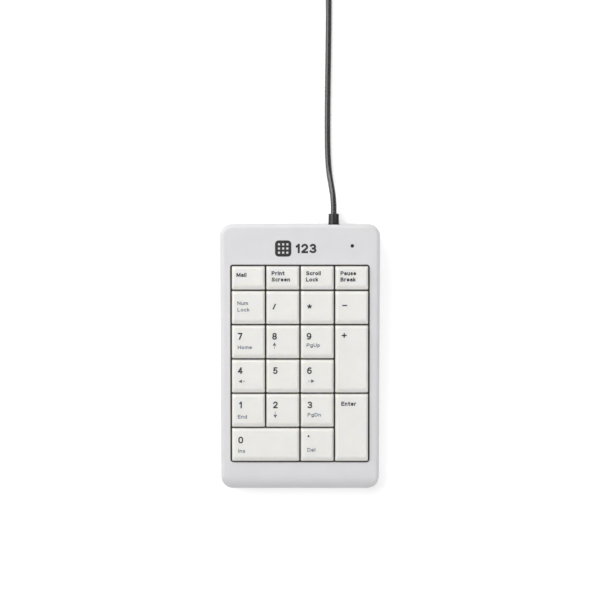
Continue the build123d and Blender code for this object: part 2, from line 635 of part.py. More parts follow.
def make_chip():
    """The controller in a 20-lead package under the board."""
    u, v = CHIP_PLACE
    width, length, height = CHIP_SIZE
    high = BOARD_BOTTOM - 0.1
    body = block(u, v, high - height, high, width, length)
    body = chamfer(body.edges().filter_by(GeomType.LINE), 0.2)
    leads = []
    for lead in range(CHIP_SIDE_LEADS):
        lead_u = u + CHIP_PITCH * (lead - (CHIP_SIDE_LEADS - 1) / 2)
        for side in (-1, 1):
            foot_v, knee_v = v + side * (length / 2 + 0.65), v + side * length / 2
            leads.append(block(lead_u, foot_v, BOARD_BOTTOM - 0.25, BOARD_BOTTOM, 0.4, 1.7))
            leads.append(block(lead_u, knee_v, high - height / 2, BOARD_BOTTOM, 0.4, 0.35))
    return body + leads


def make_crystal():
    """A low can with rounded ends under the board."""
    can = Pos(*CRYSTAL_PLACE, BOARD_BOTTOM - 3.5) * extrude(SlotOverall(11.0, 4.6), 3.0)
    can = fillet(can.faces().sort_by(Axis.Z)[0].edges(), 0.4)
    return can + rounded_block(*CRYSTAL_PLACE, BOARD_BOTTOM - 0.5, BOARD_BOTTOM, 11.4, 5.0, 2.4)


def make_board_parts():
    """Chip resistors and capacitors under the board, and one round capacitor."""
    parts = []
    length, width, height = CHIP_PART
    low = BOARD_BOTTOM - height
    for place in range(5):
        parts.append(block(-15.0 + 4.5 * place, 56.0, low, BOARD_BOTTOM, length, width))
    for place in range(3):
        parts.append(block(24.5, 57.0 + 3.2 * place, low, BOARD_BOTTOM, width, length))
    can = disc(-15.5, 66.0, BOARD_BOTTOM - 5.0, BOARD_BOTTOM, 2.0)
    parts.append(fillet(can.faces().sort_by(Axis.Z)[0].edges(), 0.3))
    return parts


def make_led():
    """A 3 mm lamp that stands on the board under its window."""
    low = BOARD_TOP + 0.3
    dome = low + 3.2
    lamp = disc(LIGHT_U, LIGHT_V, low, low + 1.0, LAMP_R + 0.4) + disc(LIGHT_U, LIGHT_V, low, dome, LAMP_R)
    lamp += Pos(LIGHT_U, LIGHT_V, dome) * Sphere(LAMP_R)
    return lamp + [disc(u, LIGHT_V, BOARD_BOTTOM - 0.8, low + 0.2, 0.3) for u in lamp_legs()]


def make_lens():
    """The light guide between the lamp and the deck, with a collar under the deck."""
    low = BOARD_TOP + 5.1
    guide = disc(LIGHT_U, LIGHT_V, low, 0, LENS_R)
    return guide + disc(LIGHT_U, LIGHT_V, -WALL - 0.8, -WALL, LENS_COLLAR_R)


def pin_v(pin):
    """A header pin's place along v."""
    return HEADER_V + PIN_PITCH * (pin - (PINS - 1) / 2)


def make_header():
    """The right-angled shroud under the board, open to the right, with four pins."""
    shroud = Pos(HEADER_U, HEADER_V, HEADER_W) * Box(*HEADER_SIZE)
    shroud -= Pos(HEADER_U + 1.0, HEADER_V, HEADER_W) * Box(HEADER_SIZE[0], *HEADER_POCKET)
    pins = [Pos(HEADER_U - 1.0, pin_v(pin), HEADER_W) * Box(4.4, PIN_WIDTH, PIN_WIDTH) for pin in range(PINS)]
    return shroud + pins


def make_connector():
    """The plug on the cord's four wires, pushed into the header."""
    length = CONNECTOR_FACE - CONNECTOR_BACK
    size = (length, HEADER_POCKET[0] - 0.2, HEADER_POCKET[1] - 0.2)
    body = Pos(CONNECTOR_BACK + length / 2, HEADER_V, HEADER_W) * Box(*size)
    socket = Box(3.4, PIN_WIDTH + 0.2, PIN_WIDTH + 0.2)
    return body - [Pos(CONNECTOR_BACK + 1.0, pin_v(pin), HEADER_W) * socket for pin in range(PINS)]


def make_wires():
    """Four wires from the connector to the strain relief's inner end, side by side."""
    wires = []
    for pin in range(PINS):
        start = DECK * Pos(CONNECTOR_FACE, pin_v(pin), HEADER_W)
        y, z = start.position.Y, start.position.Z
        x = EXIT_X + 0.6 * ((PINS - 1) / 2 - pin)
        route = [
            (CONNECTOR_FACE, y, z),
            (x, y, z),
            (x, RELIEF_INNER_Y - 1.8, EXIT_Z),
            (x, RELIEF_INNER_Y, EXIT_Z),
        ]
        path = FilletPolyline(*route, radius=[1.2, 1.0])
        section = Plane(origin=route[0], z_dir=(1, 0, 0)) * Circle(CORE_R)
        wires.append(sweep(section, path))
    return wires


# ---- cord ----

# The cord's way from the strain relief down to the desk and along it to the coil.
CORD_ROUTE = [
    (EXIT_X, RELIEF_END_Y, EXIT_Z),
    (EXIT_X, 86.6, EXIT_Z),
    (17.6, 94.4, 4.9),
    (16.1, 103.2, 2.3),
    (15.5, 113.4, 1.72),
    (15.38, 127.0, 1.7),
    (15.5, 146.0, 1.7),
    (15.85, 169.0, 1.7),
    (16.1, 192.0, 1.7),
    (16.0, 212.0, 1.8),
    (COIL_RIGHT_X, COIL_Y, COIL_LOW_Z),
]


def tail_point(angle, reach, z):
    """A point beside the coil, at an angle in degrees and a reach beyond the middle of its turns."""
    turn = radians(angle)
    return (COIL_X + (COIL_R + reach) * cos(turn), COIL_Y + (COIL_R + reach) * sin(turn), z)


# From the top outer turn of the coil, down its outside, to the plug.
TAIL_ROUTE = [
    tail_point(0, COIL_STEP, COIL_HIGH_Z),
    tail_point(28, 6.0, COIL_HIGH_Z - 0.6),
    tail_point(54, 9.0, 9.4),
    tail_point(78, 10.0, 6.2),
    (COIL_X - 4.0, PLUG_Y, PLUG_Z),
    (PLUG_NOSE_X, PLUG_Y, PLUG_Z),
]


def make_tube(name, route):
    """The cord's jacket along a route, with the largest arcs that its runs allow. Prints what came out."""
    points = [Vector(*point) for point in route]
    runs = [(b - a).length for a, b in zip(points, points[1:])]
    radii = []
    for i in range(1, len(points) - 1):
        turn = radians((points[i] - points[i - 1]).get_angle(points[i + 1] - points[i]))
        radii.append(0.45 * min(runs[i - 1], runs[i]) / tan(turn / 2))
    path = FilletPolyline(*points, radius=radii)
    start = points[0]
    section = Plane(origin=start, z_dir=points[1] - start) * Circle(CORD_R)
    tube = sweep(section, path)
    length = sum(edge.length for edge in path.edges())
    share = tube.volume / (pi * CORD_R**2 * length)
    print(name, "length", round(length, 1), "volume share", round(share, 4))
    print("  runs", [round(run, 1) for run in runs], "radii", [round(radius) for radius in radii])
    return tube


def make_relief():
    """The moulded strain relief: a nose and a flange inside, a neck in the wall and a fluted taper outside."""
    inner_wall = REAR_Y - WALL
    taper_start = REAR_Y - RELIEF_POCKET + 0.1
    outline = [
        (0, RELIEF_INNER_Y),
        (2.1, RELIEF_INNER_Y),
        (2.4, inner_wall - 1.3),
        (RELIEF_FLANGE_R, inner_wall - 1.3),
        (RELIEF_FLANGE_R, inner_wall - 0.2),
        (BORE_R - 0.1, inner_wall - 0.2),
        (BORE_R - 0.1, taper_start),
        (RELIEF_R, taper_start),
        (RELIEF_R - 0.15, RELIEF_END_Y),
        (0, RELIEF_END_Y),
    ]
    profile = make_face(Polyline(*outline, close=True))
    relief = Pos(EXIT_X, 0, EXIT_Z) * revolve(profile, Axis.Y)
    length = RELIEF_END_Y - taper_start - 1.0
    groove = Pos(RELIEF_R - FLUTE_DEPTH + 0.5, 0, 0) * Box(1.0, length, FLUTE)
    for flute in range(RELIEF_FLUTES):
        turn = 360 * flute / RELIEF_FLUTES
        relief -= Pos(EXIT_X, taper_start + 0.5 + length / 2, EXIT_Z) * Rot(0, turn, 0) * groove
    return relief


def make_coil():
    """The outer shape of the wound cord."""
    section = RectangleRounded(COIL_OUTER_R - COIL_INNER_R, COIL_HEIGHT, CORD_R - 0.05)
    ring = revolve(Plane.XZ * Pos(COIL_R, COIL_BASE + COIL_HEIGHT / 2) * section, Axis.Z)
    return Pos(COIL_X, COIL_Y, 0) * ring


def make_tie():
    """A flat wire tie closed round the coil's left side, with its twisted ends lying on top."""
    width, height = COIL_OUTER_R - COIL_INNER_R + 0.5, COIL_HEIGHT + 0.2
    outer = RectangleRounded(width + 2 * TIE, height + 2 * TIE - 0.1, CORD_R + TIE)
    band = extrude(Plane.XZ * (outer - RectangleRounded(width, height, CORD_R)), TIE_WIDTH / 2, both=True)
    band = Pos(-COIL_R, 0, COIL_BASE + COIL_HEIGHT / 2) * band
    top = COIL_BASE + COIL_HEIGHT + 0.1 + TIE
    twist = Pos(-COIL_R, 0, top + 0.45) * Rot(0, 90, 0) * Cylinder(TWIST_R, TWIST_LENGTH)
    return Pos(COIL_X, COIL_Y, 0) * (band + twist)


# ---- plug, drawn with its tip towards +X and turned to face -X ----

BODY_END = NOSE + BODY_SIZE[0]
SHELL_START = BODY_END - SHELL_SUNK
SHELL_ROOM = (SHELL_SIZE[0] - 2 * SHELL_WALL, SHELL_SIZE[1] - 2 * SHELL_WALL)


def plug_place(shape):
    return Pos(PLUG_NOSE_X, PLUG_Y, PLUG_Z) * Rot(0, 0, 180) * shape


def make_overmould():
    body = Pos(NOSE + BODY_SIZE[0] / 2, 0, 0) * Box(*BODY_SIZE)
    body = fillet(body.edges().filter_by(Axis.X), 2.2)
    body = fillet(body.edges().group_by(Axis.X)[0], 0.8)
    body += Rot(0, 90, 0) * Pos(0, 0, (NOSE + 1) / 2) * Cone(2.4, 3.4, NOSE + 1)
    for place in range(NOSE_GROOVES):
        groove = Cylinder(4.5, 0.9) - Cylinder(2.2, 0.9)
        body -= Pos(GROOVE_PITCH * (place + 1), 0, 0) * Rot(0, 90, 0) * groove
    return body - Pos(SHELL_START + 3.0, 0, 0) * Box(6.0, *SHELL_SIZE)


def make_shell():
    """The steel shell, with two windows in its top and two in its underside."""
    length = SHELL_OUT + SHELL_SUNK
    shell = Pos(SHELL_START + length / 2, 0, 0) * Box(length, *SHELL_SIZE)
    shell -= Pos(SHELL_START + length / 2, 0, 0) * Box(length + 1, *SHELL_ROOM)
    for across in (-WINDOW_U, WINDOW_U):
        shell -= Pos(BODY_END + 6.0, across, 0) * Box(*WINDOW_SIZE, 2 * SHELL_SIZE[1])
    return shell


def make_tongue():
    """The plastic block in the shell's root, which carries the contacts on a ledge along its upper half."""
    width, height = SHELL_ROOM
    root = Pos(SHELL_START + 2.5, 0, 0) * Box(5.0, width, height)
    length = SHELL_OUT + SHELL_SUNK - 0.6
    ledge = Pos(SHELL_START + length / 2, 0, (height - LEDGE) / 2) * Box(length, width - 0.2, LEDGE)
    return root + ledge


def make_contacts():
    """Four gold strips under the ledge; the outer two are longer."""
    thickness = 0.2
    middle = SHELL_ROOM[1] / 2 - LEDGE - thickness / 2
    start = BODY_END + 1.0
    return [Pos(start + length / 2, y, middle) * Box(length, 1.0, thickness) for y, length in CONTACTS]


# ---- writing the pieces ----


def write(name, shape):
    """Writes one node: a single solid, or a group of separate ones."""
    items = shape if isinstance(shape, list) else [shape]
    solids = [solid for item in items for solid in item.solids()]
    whole = solids[0] if len(solids) == 1 else Compound(children=solids)
    whole.label = name
    export_step(whole, f"parts/{name}.step")


def on_deck(shape):
    return [DECK * item for item in shape] if isinstance(shape, list) else DECK * shape


def main():
    os.makedirs("parts", exist_ok=True)
    write("top_case", make_top_case())
    write("bottom_case", make_bottom_case())
    write("case_screws", make_case_screws())
    write("rubber_feet", make_rubber_feet())

    caps = {}
    for name in KEYS:
        u, v, width, length = key_place(name)
        size = (round(width, 3), round(length, 3))
        if size not in caps:
            caps[size] = make_keycap(name)
        write(name, on_deck(Pos(u, v, 0) * caps[size]))
    for name, key in STABILISERS.items():
        write(name, on_deck(make_stabiliser(key)))

    write("key_frame", on_deck(make_key_frame()))
    write("dome_mat", on_deck(make_dome_mat()))
    write("membrane_top", on_deck(make_sheet(MAT_BOTTOM, False, False)))
    write("membrane_spacer", on_deck(make_sheet(MAT_BOTTOM - SHEET, True, False)))
    write("membrane_bottom", on_deck(make_sheet(MAT_BOTTOM - 2 * SHEET, False, True)))
    write("steel_backplate", on_deck(make_backplate()))
    write("plate_screws", on_deck(make_plate_screws()))

    write("circuit_board", on_deck(make_board()))
    write("board_screws", on_deck(make_board_screws()))
    write("membrane_clamp", on_deck(make_clamp()))
    write("clamp_screws", on_deck(make_clamp_screws()))
    write("controller_chip", on_deck(make_chip()))
    write("crystal", on_deck(make_crystal()))
    write("board_parts", on_deck(make_board_parts()))
    write("num_lock_led", on_deck(make_led()))
    write("led_lens", on_deck(make_lens()))
    write("cable_header", on_deck(make_header()))
    write("cable_connector", on_deck(make_connector()))
    write("cable_wires", make_wires())

    write("strain_relief", make_relief())
    write("usb_cord", make_tube("usb_cord", CORD_ROUTE))
    write("cord_tail", make_tube("cord_tail", TAIL_ROUTE))
    write("cord_coil", make_coil())
    write("cord_tie", make_tie())
    write("plug_overmould", plug_place(make_overmould()))
    write("plug_shell", plug_place(make_shell()))
    write("plug_tongue", plug_place(make_tongue()))
    write("plug_contacts", [plug_place(strip) for strip in make_contacts()])


main()
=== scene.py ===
import json
from math import atan2, ceil, cos, pi, radians, sin, sqrt

import bmesh
import bpy
from mathutils import Matrix, Vector


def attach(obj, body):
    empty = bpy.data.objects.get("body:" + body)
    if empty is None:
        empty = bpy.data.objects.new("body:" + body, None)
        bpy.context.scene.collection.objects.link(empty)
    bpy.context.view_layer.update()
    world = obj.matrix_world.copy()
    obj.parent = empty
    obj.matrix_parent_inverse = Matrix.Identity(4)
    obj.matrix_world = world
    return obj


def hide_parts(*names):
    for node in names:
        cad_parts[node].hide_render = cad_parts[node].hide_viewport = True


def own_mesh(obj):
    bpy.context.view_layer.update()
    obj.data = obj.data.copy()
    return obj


# The looks of a numeric keypad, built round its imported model. Metres, in the model's own frame: the
# origin is on the desk under the middle of the case, +X is to the user's right, +Y is away from the user
# and +Z is up.

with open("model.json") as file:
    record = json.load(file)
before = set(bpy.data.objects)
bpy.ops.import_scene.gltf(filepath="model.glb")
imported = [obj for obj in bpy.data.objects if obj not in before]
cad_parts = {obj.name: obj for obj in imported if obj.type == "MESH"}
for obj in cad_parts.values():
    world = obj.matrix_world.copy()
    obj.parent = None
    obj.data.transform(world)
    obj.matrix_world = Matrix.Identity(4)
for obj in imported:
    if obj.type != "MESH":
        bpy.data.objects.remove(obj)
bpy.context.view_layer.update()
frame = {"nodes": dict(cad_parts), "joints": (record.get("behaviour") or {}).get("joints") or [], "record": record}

MM = 0.001
JOINTS = {joint["name"]: joint for joint in frame["joints"]}
KEYS = [name for name in frame["nodes"] if name.startswith("key_") and name != "key_frame"]

# ---- the deck's own frame: u to the right, v up the slope, w out of the deck ----
PRESS_AXIS = Vector(JOINTS["press_5"]["axis"])
SLOPE = atan2(PRESS_AXIS.y, -PRESS_AXIS.z)
DECK_MID_Z = 17.8 * MM
DECK = Matrix.Translation((0, 0, DECK_MID_Z)) @ Matrix.Rotation(SLOPE, 4, "X")
DECK_INVERSE = DECK.inverted()

# ---- keys ----
CAP_TOP = 2.4 * MM
CAP_DISH = 0.3 * MM
CAP_SHOULDER = 1.0 * MM  # where the steep skirt turns into the rounded shoulder
CAP_SKIRT = -2.4 * MM
CAP_WALL = 1.0 * MM
CAP_ROOF = 1.2 * MM
CAP_CORNER = 0.7 * MM
CAP_TOP_CORNER = 1.6 * MM
SKIRT_LEAN = 0.2 * MM
FLANK_SIDE = 1.3 * MM  # how far each side leans in up to the top
FLANK_FRONT = 2.6 * MM
FLANK_REAR = 1.1 * MM
SHOULDER_POWER = 1.2  # between a bevel at 1 and a round at 2
CORNER_STEPS = 4  # in half a corner
CAP_THINNING = 0.6 * MM  # how much lower the inside turns in than the outside
CAP_EDGE = 0.12 * MM  # chamfer round the foot
FACE_SIZE = 1.6 * MM  # about the largest face on a cap
STEM_BOTTOM = -5.4 * MM
STEM_R = 2.5 * MM
STEM_BORE_R = 1.2 * MM
STEM_V = 0.75 * MM
HOOK_REACH = 0.6 * MM
HOOK_SIZE = (1.2 * MM, 0.9 * MM)

# ---- domes ----
MAT_TOP = -8.6 * MM
MAT_BASE = 0.6 * MM
DOME_BASE_R = 4.0 * MM
DOME_NECK_R = 2.6 * MM
DOME_TOP_R = 2.3 * MM
DOME_WALL = 0.6 * MM
DOME_FLARE = 1.9 * MM
PLUNGER_R = 1.0 * MM

# ---- printing ----
INK = 0.025 * MM  # how far the printed marks stand out
EMBLEM_CENTRE = (-9.3 * MM, 59.7 * MM)
EMBLEM_SIDE = 9.0 * MM
EMBLEM_CORNER = 2.0 * MM
EMBLEM_PITCH = 2.3 * MM
EMBLEM_DOT = 1.1 * MM
DIGITS_PLACE = (-3.4 * MM, 57.1 * MM)

# ---- cord ----
CORD_R = 1.65 * MM
COIL_R = 18.6  # from here on in millimetres, as the route is
COIL_STEP = 3.35
COIL_LOW_Z = 2.15
COIL_CENTRE = (-6.35, 229.5)
# Each turn's column: out, middle, in, then up a layer and back out. There are three to a layer.
COIL_COLUMNS = [1, 0, -1, -1, 0, 1, 1, 0, -1, -1, 0, 1]
COIL_PLACES = [(column, turn // 3) for turn, column in enumerate(COIL_COLUMNS)]
TURN_POINTS = 16
COIL_SHIFT = 0.17  # the share of each turn in which it moves over to its next place


# ---- camera and cord ----


def make_camera():
    """A camera straight above the keypad, with the cord running out of the picture's upper part."""
    field, height, middle_y = 332.3 * MM, 1.8, 31.1 * MM
    data = bpy.data.cameras.new("camera")
    data.sensor_width = 36.0
    data.lens = data.sensor_width * height / field
    data.clip_start, data.clip_end = 0.05, 20.0
    camera = bpy.data.objects.new("camera", data)
    camera.location = (0, middle_y, DECK_MID_Z + height)
    bpy.context.collection.objects.link(camera)
    bpy.context.scene.camera = camera


CORD_ROUTE = [
    (18.8, 79.15, 7.0),
    (18.8, 86.6, 7.0),
    (17.6, 94.4, 4.9),
    (16.1, 103.2, 2.3),
    (15.5, 113.4, 1.72),
    (15.38, 127.0, 1.7),
    (15.5, 146.0, 1.7),
    (15.85, 169.0, 1.7),
    (16.1, 192.0, 1.7),
    (16.0, 212.0, 1.8),
    (15.6, 229.5, 2.15),
]


def coil_points():
    """Corners of the polygon round each of the coil's turns, moving over to the next place near its end."""
    points = []
    turns = len(COIL_PLACES) - 1
    for step in range(turns * TURN_POINTS):
        turn, share = divmod((step + 0.5) / TURN_POINTS, 1)
        shift = max(0.0, (share - 1 + COIL_SHIFT) / COIL_SHIFT)
        here, there = COIL_PLACES[int(turn)], COIL_PLACES[int(turn) + 1]
        column = here[0] + (there[0] - here[0]) * shift
        layer = here[1] + (there[1] - here[1]) * shift
        radius = (COIL_R + COIL_STEP * column) / cos(pi / TURN_POINTS)
        angle = 2 * pi * share
        x = COIL_CENTRE[0] + radius * cos(angle)
        y = COIL_CENTRE[1] + radius * sin(angle)
        points.append((x, y, COIL_LOW_Z + COIL_STEP * layer))
    return points


def tail_point(angle, reach, z):
    """A point beside the coil, at an angle in degrees and a reach beyond the middle of its turns."""
    turn, distance = radians(angle), COIL_R + reach
    return (COIL_CENTRE[0] + distance * cos(turn), COIL_CENTRE[1] + distance * sin(turn), z)


TAIL_ROUTE = [
    tail_point(0, COIL_STEP, 12.2),
    tail_point(28, 6.0, 11.6),
    tail_point(54, 9.0, 9.4),
    tail_point(78, 10.0, 6.2),
    (-10.35, 257.5, 4.2),
    (-18.35, 257.5, 4.2),
]


def make_cord(material):
    curve = bpy.data.curves.new("cord", "CURVE")
    curve.dimensions = "3D"
    curve.bevel_depth = CORD_R
    curve.bevel_resolution = 7
    curve.resolution_u = 8
    curve.use_fill_caps = True
    route = CORD_ROUTE + coil_points() + TAIL_ROUTE
    spline = curve.splines.new("NURBS")
    spline.points.add(len(route) - 1)
    for point, place in zip(spline.points, route):
        point.co = (*(Vector(place) * MM), 1)
    spline.order_u = 3
    spline.use_endpoint_u = True
    curve.materials.append(material)
    cord = bpy.data.objects.new("cord", curve)
    bpy.context.collection.objects.link(cord)
    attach(cord, "root")
    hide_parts("usb_cord", "cord_coil", "cord_tail")


# ---- materials ----


class Finish:
    """A material in the making: a Principled shader and short ways to put textures on it."""

    def __init__(self, name, colour, roughness, **sockets):
        self.material = bpy.data.materials.new(name)
        self.material.use_nodes = True
        self.material.diffuse_color = (*colour, 1)
        self.tree = self.material.node_tree
        self.shader = self.tree.nodes["Principled BSDF"]
        self.colour = colour
        self.bumps = None
        self.shader.inputs["Base Color"].default_value = (*colour, 1)
        self.shader.inputs["Roughness"].default_value = roughness
        for socket, value in sockets.items():
            self.shader.inputs[socket.replace("_", " ")].default_value = value

    def node(self, kind, **inputs):
        node = self.tree.nodes.new("ShaderNode" + kind)
        for socket, value in inputs.items():
            node.inputs[socket].default_value = value
        return node

    def link(self, output, target):
        self.tree.links.new(output, target)

    def place(self, stretch=(1, 1, 1)):
        """The point on the piece, in metres, with each axis multiplied by its part of stretch."""
        coordinates = self.node("TexCoord")
        mapping = self.node("Mapping", Scale=stretch)
        self.link(coordinates.outputs["Object"], mapping.inputs["Vector"])
        return mapping.outputs["Vector"]

    def noise(self, size, detail=2.0, stretch=(1, 1, 1)):
        """Blotches about size metres across, as a value about 0.5."""
        noise = self.node("TexNoise", Scale=1 / size, Detail=detail)
        self.link(self.place(stretch), noise.inputs["Vector"])
        return noise.outputs["Fac"]

    def spread(self, value, low, high, start=0.35, end=0.65):
        """Maps a value from start..end to low..high."""
        spread = self.node("MapRange")
        for socket, number in (("From Min", start), ("From Max", end), ("To Min", low), ("To Max", high)):
            spread.inputs[socket].default_value = number
        self.link(value, spread.inputs["Value"])
        return spread.outputs["Result"]

    def tint(self, factor, other):
        """Mixes another colour in where factor is high."""
        mix = self.node("Mix")
        mix.data_type = "RGBA"
        first, second = mix.inputs[6], mix.inputs[7]
        before = self.shader.inputs["Base Color"]
        if before.is_linked:
            self.link(before.links[0].from_socket, first)
        else:
            first.default_value = (*self.colour, 1)
        second.default_value = (*other, 1)
        self.link(factor, mix.inputs[0])
        self.link(mix.outputs[2], before)

    def vary_roughness(self, value, low, high):
        self.link(self.spread(value, low, high), self.shader.inputs["Roughness"])

    def bump(self, height, depth):
        """Raises the surface by depth metres where height is high, on top of the bumps so far."""
        bump = self.node("Bump", Strength=1.0, Distance=depth)
        self.link(height, bump.inputs["Height"])
        if self.bumps:
            self.link(self.bumps, bump.inputs["Normal"])
        self.bumps = bump.outputs["Normal"]
        self.link(self.bumps, self.shader.inputs["Normal"])

    def facing_up(self):
        """0 on walls and 1 on faces that look out of the deck or the desk."""
        geometry = self.node("NewGeometry")
        split = self.node("SeparateXYZ")
        self.link(geometry.outputs["Normal"], split.inputs["Vector"])
        return self.spread(split.outputs["Z"], 0, 1, 0.8, 0.97)


def moulded(name, colour, roughness, grain, depth, shade=0.94):
    """Moulded plastic: a fine eroded texture, faint clouds in the colour and patches of differing gloss."""
    finish = Finish(name, colour, roughness)
    darker = tuple(shade * part for part in colour)
    finish.tint(finish.spread(finish.noise(9 * MM, 4), 0, 1), darker)
    finish.vary_roughness(finish.noise(2.5 * MM, 5), roughness - 0.05, roughness + 0.06)
    finish.bump(finish.noise(grain, 3), depth)
    return finish


def plastic(*looks):
    """A moulded plastic with nothing more to it."""
    return moulded(*looks).material


def case_plastic():
    """Light grey ABS with a fine spark-eroded texture."""
    finish = moulded("case_plastic", (0.552, 0.549, 0.564), 0.46, 0.22 * MM, 0.010 * MM, 0.975)
    finish.bump(finish.noise(14 * MM, 2), 0.02 * MM)
    return finish.material


def keycap_plastic():
    """Warm white ABS: the touched tops are a little glossier than the flanks."""
    finish = Finish("keycap_plastic", (0.675, 0.672, 0.655), 0.42)
    finish.shader.inputs["Subsurface Weight"].default_value = 0.5
    finish.shader.inputs["Subsurface Radius"].default_value = (1.0, 0.85, 0.5)
    finish.shader.inputs["Subsurface Scale"].default_value = 1.6 * MM
    finish.tint(finish.spread(finish.noise(7 * MM, 4), 0, 1), (0.662, 0.657, 0.637))
    polish = finish.node("Math")
    polish.operation = "MULTIPLY_ADD"
    finish.link(finish.facing_up(), polish.inputs[0])
    polish.inputs[1].default_value = -0.09
    finish.link(finish.spread(finish.noise(1.6 * MM, 4), 0.40, 0.52), polish.inputs[2])
    finish.link(polish.outputs["Value"], finish.shader.inputs["Roughness"])
    finish.bump(finish.noise(0.16 * MM, 2), 0.004 * MM)
    return finish.material


def ink(name, colour):
    """Printing ink: slightly uneven cover and a soft gloss."""
    finish = Finish(name, colour, 0.5)
    lighter = tuple(part * 1.25 + 0.006 for part in colour)
    finish.tint(finish.spread(finish.noise(0.35 * MM, 3), 0, 1, 0.5, 0.8), lighter)
    finish.vary_roughness(finish.noise(0.5 * MM, 2), 0.42, 0.6)
    return finish.material


def cord_jacket():
    """Soft black PVC with a faint orange-peel surface and a dusty bloom in patches."""
    finish = Finish("cord_jacket", (0.006, 0.006, 0.006), 0.26, Specular_IOR_Level=0.9)
    finish.tint(finish.spread(finish.noise(5 * MM, 4), 0, 1, 0.45, 0.75), (0.013, 0.013, 0.014))
    finish.vary_roughness(finish.noise(2 * MM, 4), 0.22, 0.32)
    finish.bump(finish.noise(0.5 * MM, 2), 0.006 * MM)
    return finish.material


def foot_rubber():
    finish = moulded("foot_rubber", (0.075, 0.075, 0.08), 0.82, 0.35 * MM, 0.03 * MM, 0.8)
    finish.tint(finish.spread(finish.noise(1.2 * MM, 3), 0, 1, 0.62, 0.7), (0.16, 0.155, 0.15))
    return finish.material


def dome_rubber():
    finish = moulded("dome_rubber", (0.60, 0.60, 0.58), 0.62, 0.3 * MM, 0.01 * MM, 0.95)
    finish.shader.inputs["Subsurface Weight"].default_value = 0.15
    finish.shader.inputs["Subsurface Scale"].default_value = 1.5 * MM
    return finish.material


def membrane_film():
    """Clear polyester with printed silver tracks that run along and across it."""
    finish = Finish("membrane_film", (0.66, 0.69, 0.71), 0.22, Coat_Weight=0.4)
    tracks = finish.node("TexBrick", Scale=180.0)
    tracks.inputs["Mortar Size"].default_value = 0.06
    finish.link(finish.place(), tracks.inputs["Vector"])
    finish.tint(tracks.outputs["Fac"], (0.42, 0.44, 0.46))
    finish.vary_roughness(finish.noise(3 * MM, 3), 0.18, 0.3)
    return finish.material


def metal(name, colour, roughness, stretch):
    """Rolled or brushed metal: fine scratches along one axis."""
    finish = Finish(name, colour, roughness, Metallic=1.0)
    lines = finish.noise(0.12 * MM, 3, stretch)
    finish.vary_roughness(lines, roughness - 0.08, roughness + 0.1)
    darker = tuple(0.85 * part for part in colour)
    finish.tint(finish.spread(finish.noise(4 * MM, 4), 0, 1, 0.45, 0.7), darker)
    finish.bump(lines, 0.004 * MM)
    return finish.material


def board_lacquer():
    """Green solder resist over copper tracks."""
    finish = Finish("board_lacquer", (0.02, 0.11, 0.045), 0.3, Coat_Weight=0.5)
    tracks = finish.node("TexBrick", Scale=420.0)
    tracks.inputs["Mortar Size"].default_value = 0.09
    finish.link(finish.place(), tracks.inputs["Vector"])
    finish.tint(tracks.outputs["Fac"], (0.045, 0.19, 0.075))
    finish.bump(tracks.outputs["Fac"], 0.03 * MM)
    return finish.material


def smoked_lens():
    """The dark window of the lamp, polished, with a faint milky core."""
    finish = Finish("smoked_lens", (0.012, 0.014, 0.012), 0.12, Coat_Weight=0.6)
    finish.tint(finish.spread(finish.noise(0.6 * MM, 2), 0, 1), (0.02, 0.026, 0.02))
    finish.vary_roughness(finish.noise(0.4 * MM, 3), 0.08, 0.18)
    return finish.material


def lamp_resin():
    finish = Finish("lamp_resin", (0.18, 0.48, 0.20), 0.12, Transmission_Weight=0.5, IOR=1.5)
    finish.tint(finish.spread(finish.noise(0.8 * MM, 3), 0, 1), (0.22, 0.55, 0.25))
    finish.vary_roughness(finish.noise(0.5 * MM, 2), 0.08, 0.2)
    return finish.material


def make_finishes():
    """Each CAD material slot's material."""
    along_x, along_y = (0.04, 1, 1), (1, 0.04, 1)
    return {
        "case": case_plastic(),
        "keycap": keycap_plastic(),
        # The frame's olive-tan colour is painted light: it is lighter and warmer than the black of its slot,
        # standing in for the warm light bounced off the caps' shaded walls into the gaps between the keys.
        "frame_black": plastic("black_plastic", (0.26, 0.24, 0.17), 0.5, 0.25 * MM, 0.012 * MM, 0.7),
        "dome_rubber": dome_rubber(),
        "sheet": membrane_film(),
        "steel": metal("rolled_steel", (0.53, 0.54, 0.55), 0.38, along_y),
        "board": board_lacquer(),
        "chip_black": plastic("chip_epoxy", (0.022, 0.022, 0.024), 0.55, 0.15 * MM, 0.01 * MM, 0.8),
        "tin": metal("tinned_can", (0.72, 0.72, 0.70), 0.22, along_x),
        "screw": metal("zinc_plate", (0.58, 0.58, 0.56), 0.32, (1, 1, 0.1)),
        "clamp_plastic": plastic("clamp_plastic", (0.55, 0.55, 0.53), 0.5, 0.25 * MM, 0.01 * MM),
        "light": smoked_lens(),
        "lamp": lamp_resin(),
        "connector": plastic("connector_nylon", (0.72, 0.69, 0.58), 0.45, 0.2 * MM, 0.008 * MM),
        "wire": plastic("wire_sleeve", (0.42, 0.03, 0.025), 0.4, 0.2 * MM, 0.006 * MM, 0.85),
        "cord_black": cord_jacket(),
        "foot": foot_rubber(),
        "tie_black": plastic("tie_sleeve", (0.02, 0.02, 0.021), 0.42, 0.3 * MM, 0.01 * MM, 0.8),
        "plug_black": plastic("plug_rubber", (0.018, 0.018, 0.019), 0.5, 0.3 * MM, 0.014 * MM, 0.7),
        "nickel": metal("nickel_shell", (0.70, 0.69, 0.66), 0.2, along_x),
        "gold": metal("gold_flash", (0.85, 0.60, 0.22), 0.24, along_x),
        "plug_white": plastic("tongue_plastic", (0.74, 0.74, 0.72), 0.4, 0.2 * MM, 0.006 * MM),
    }


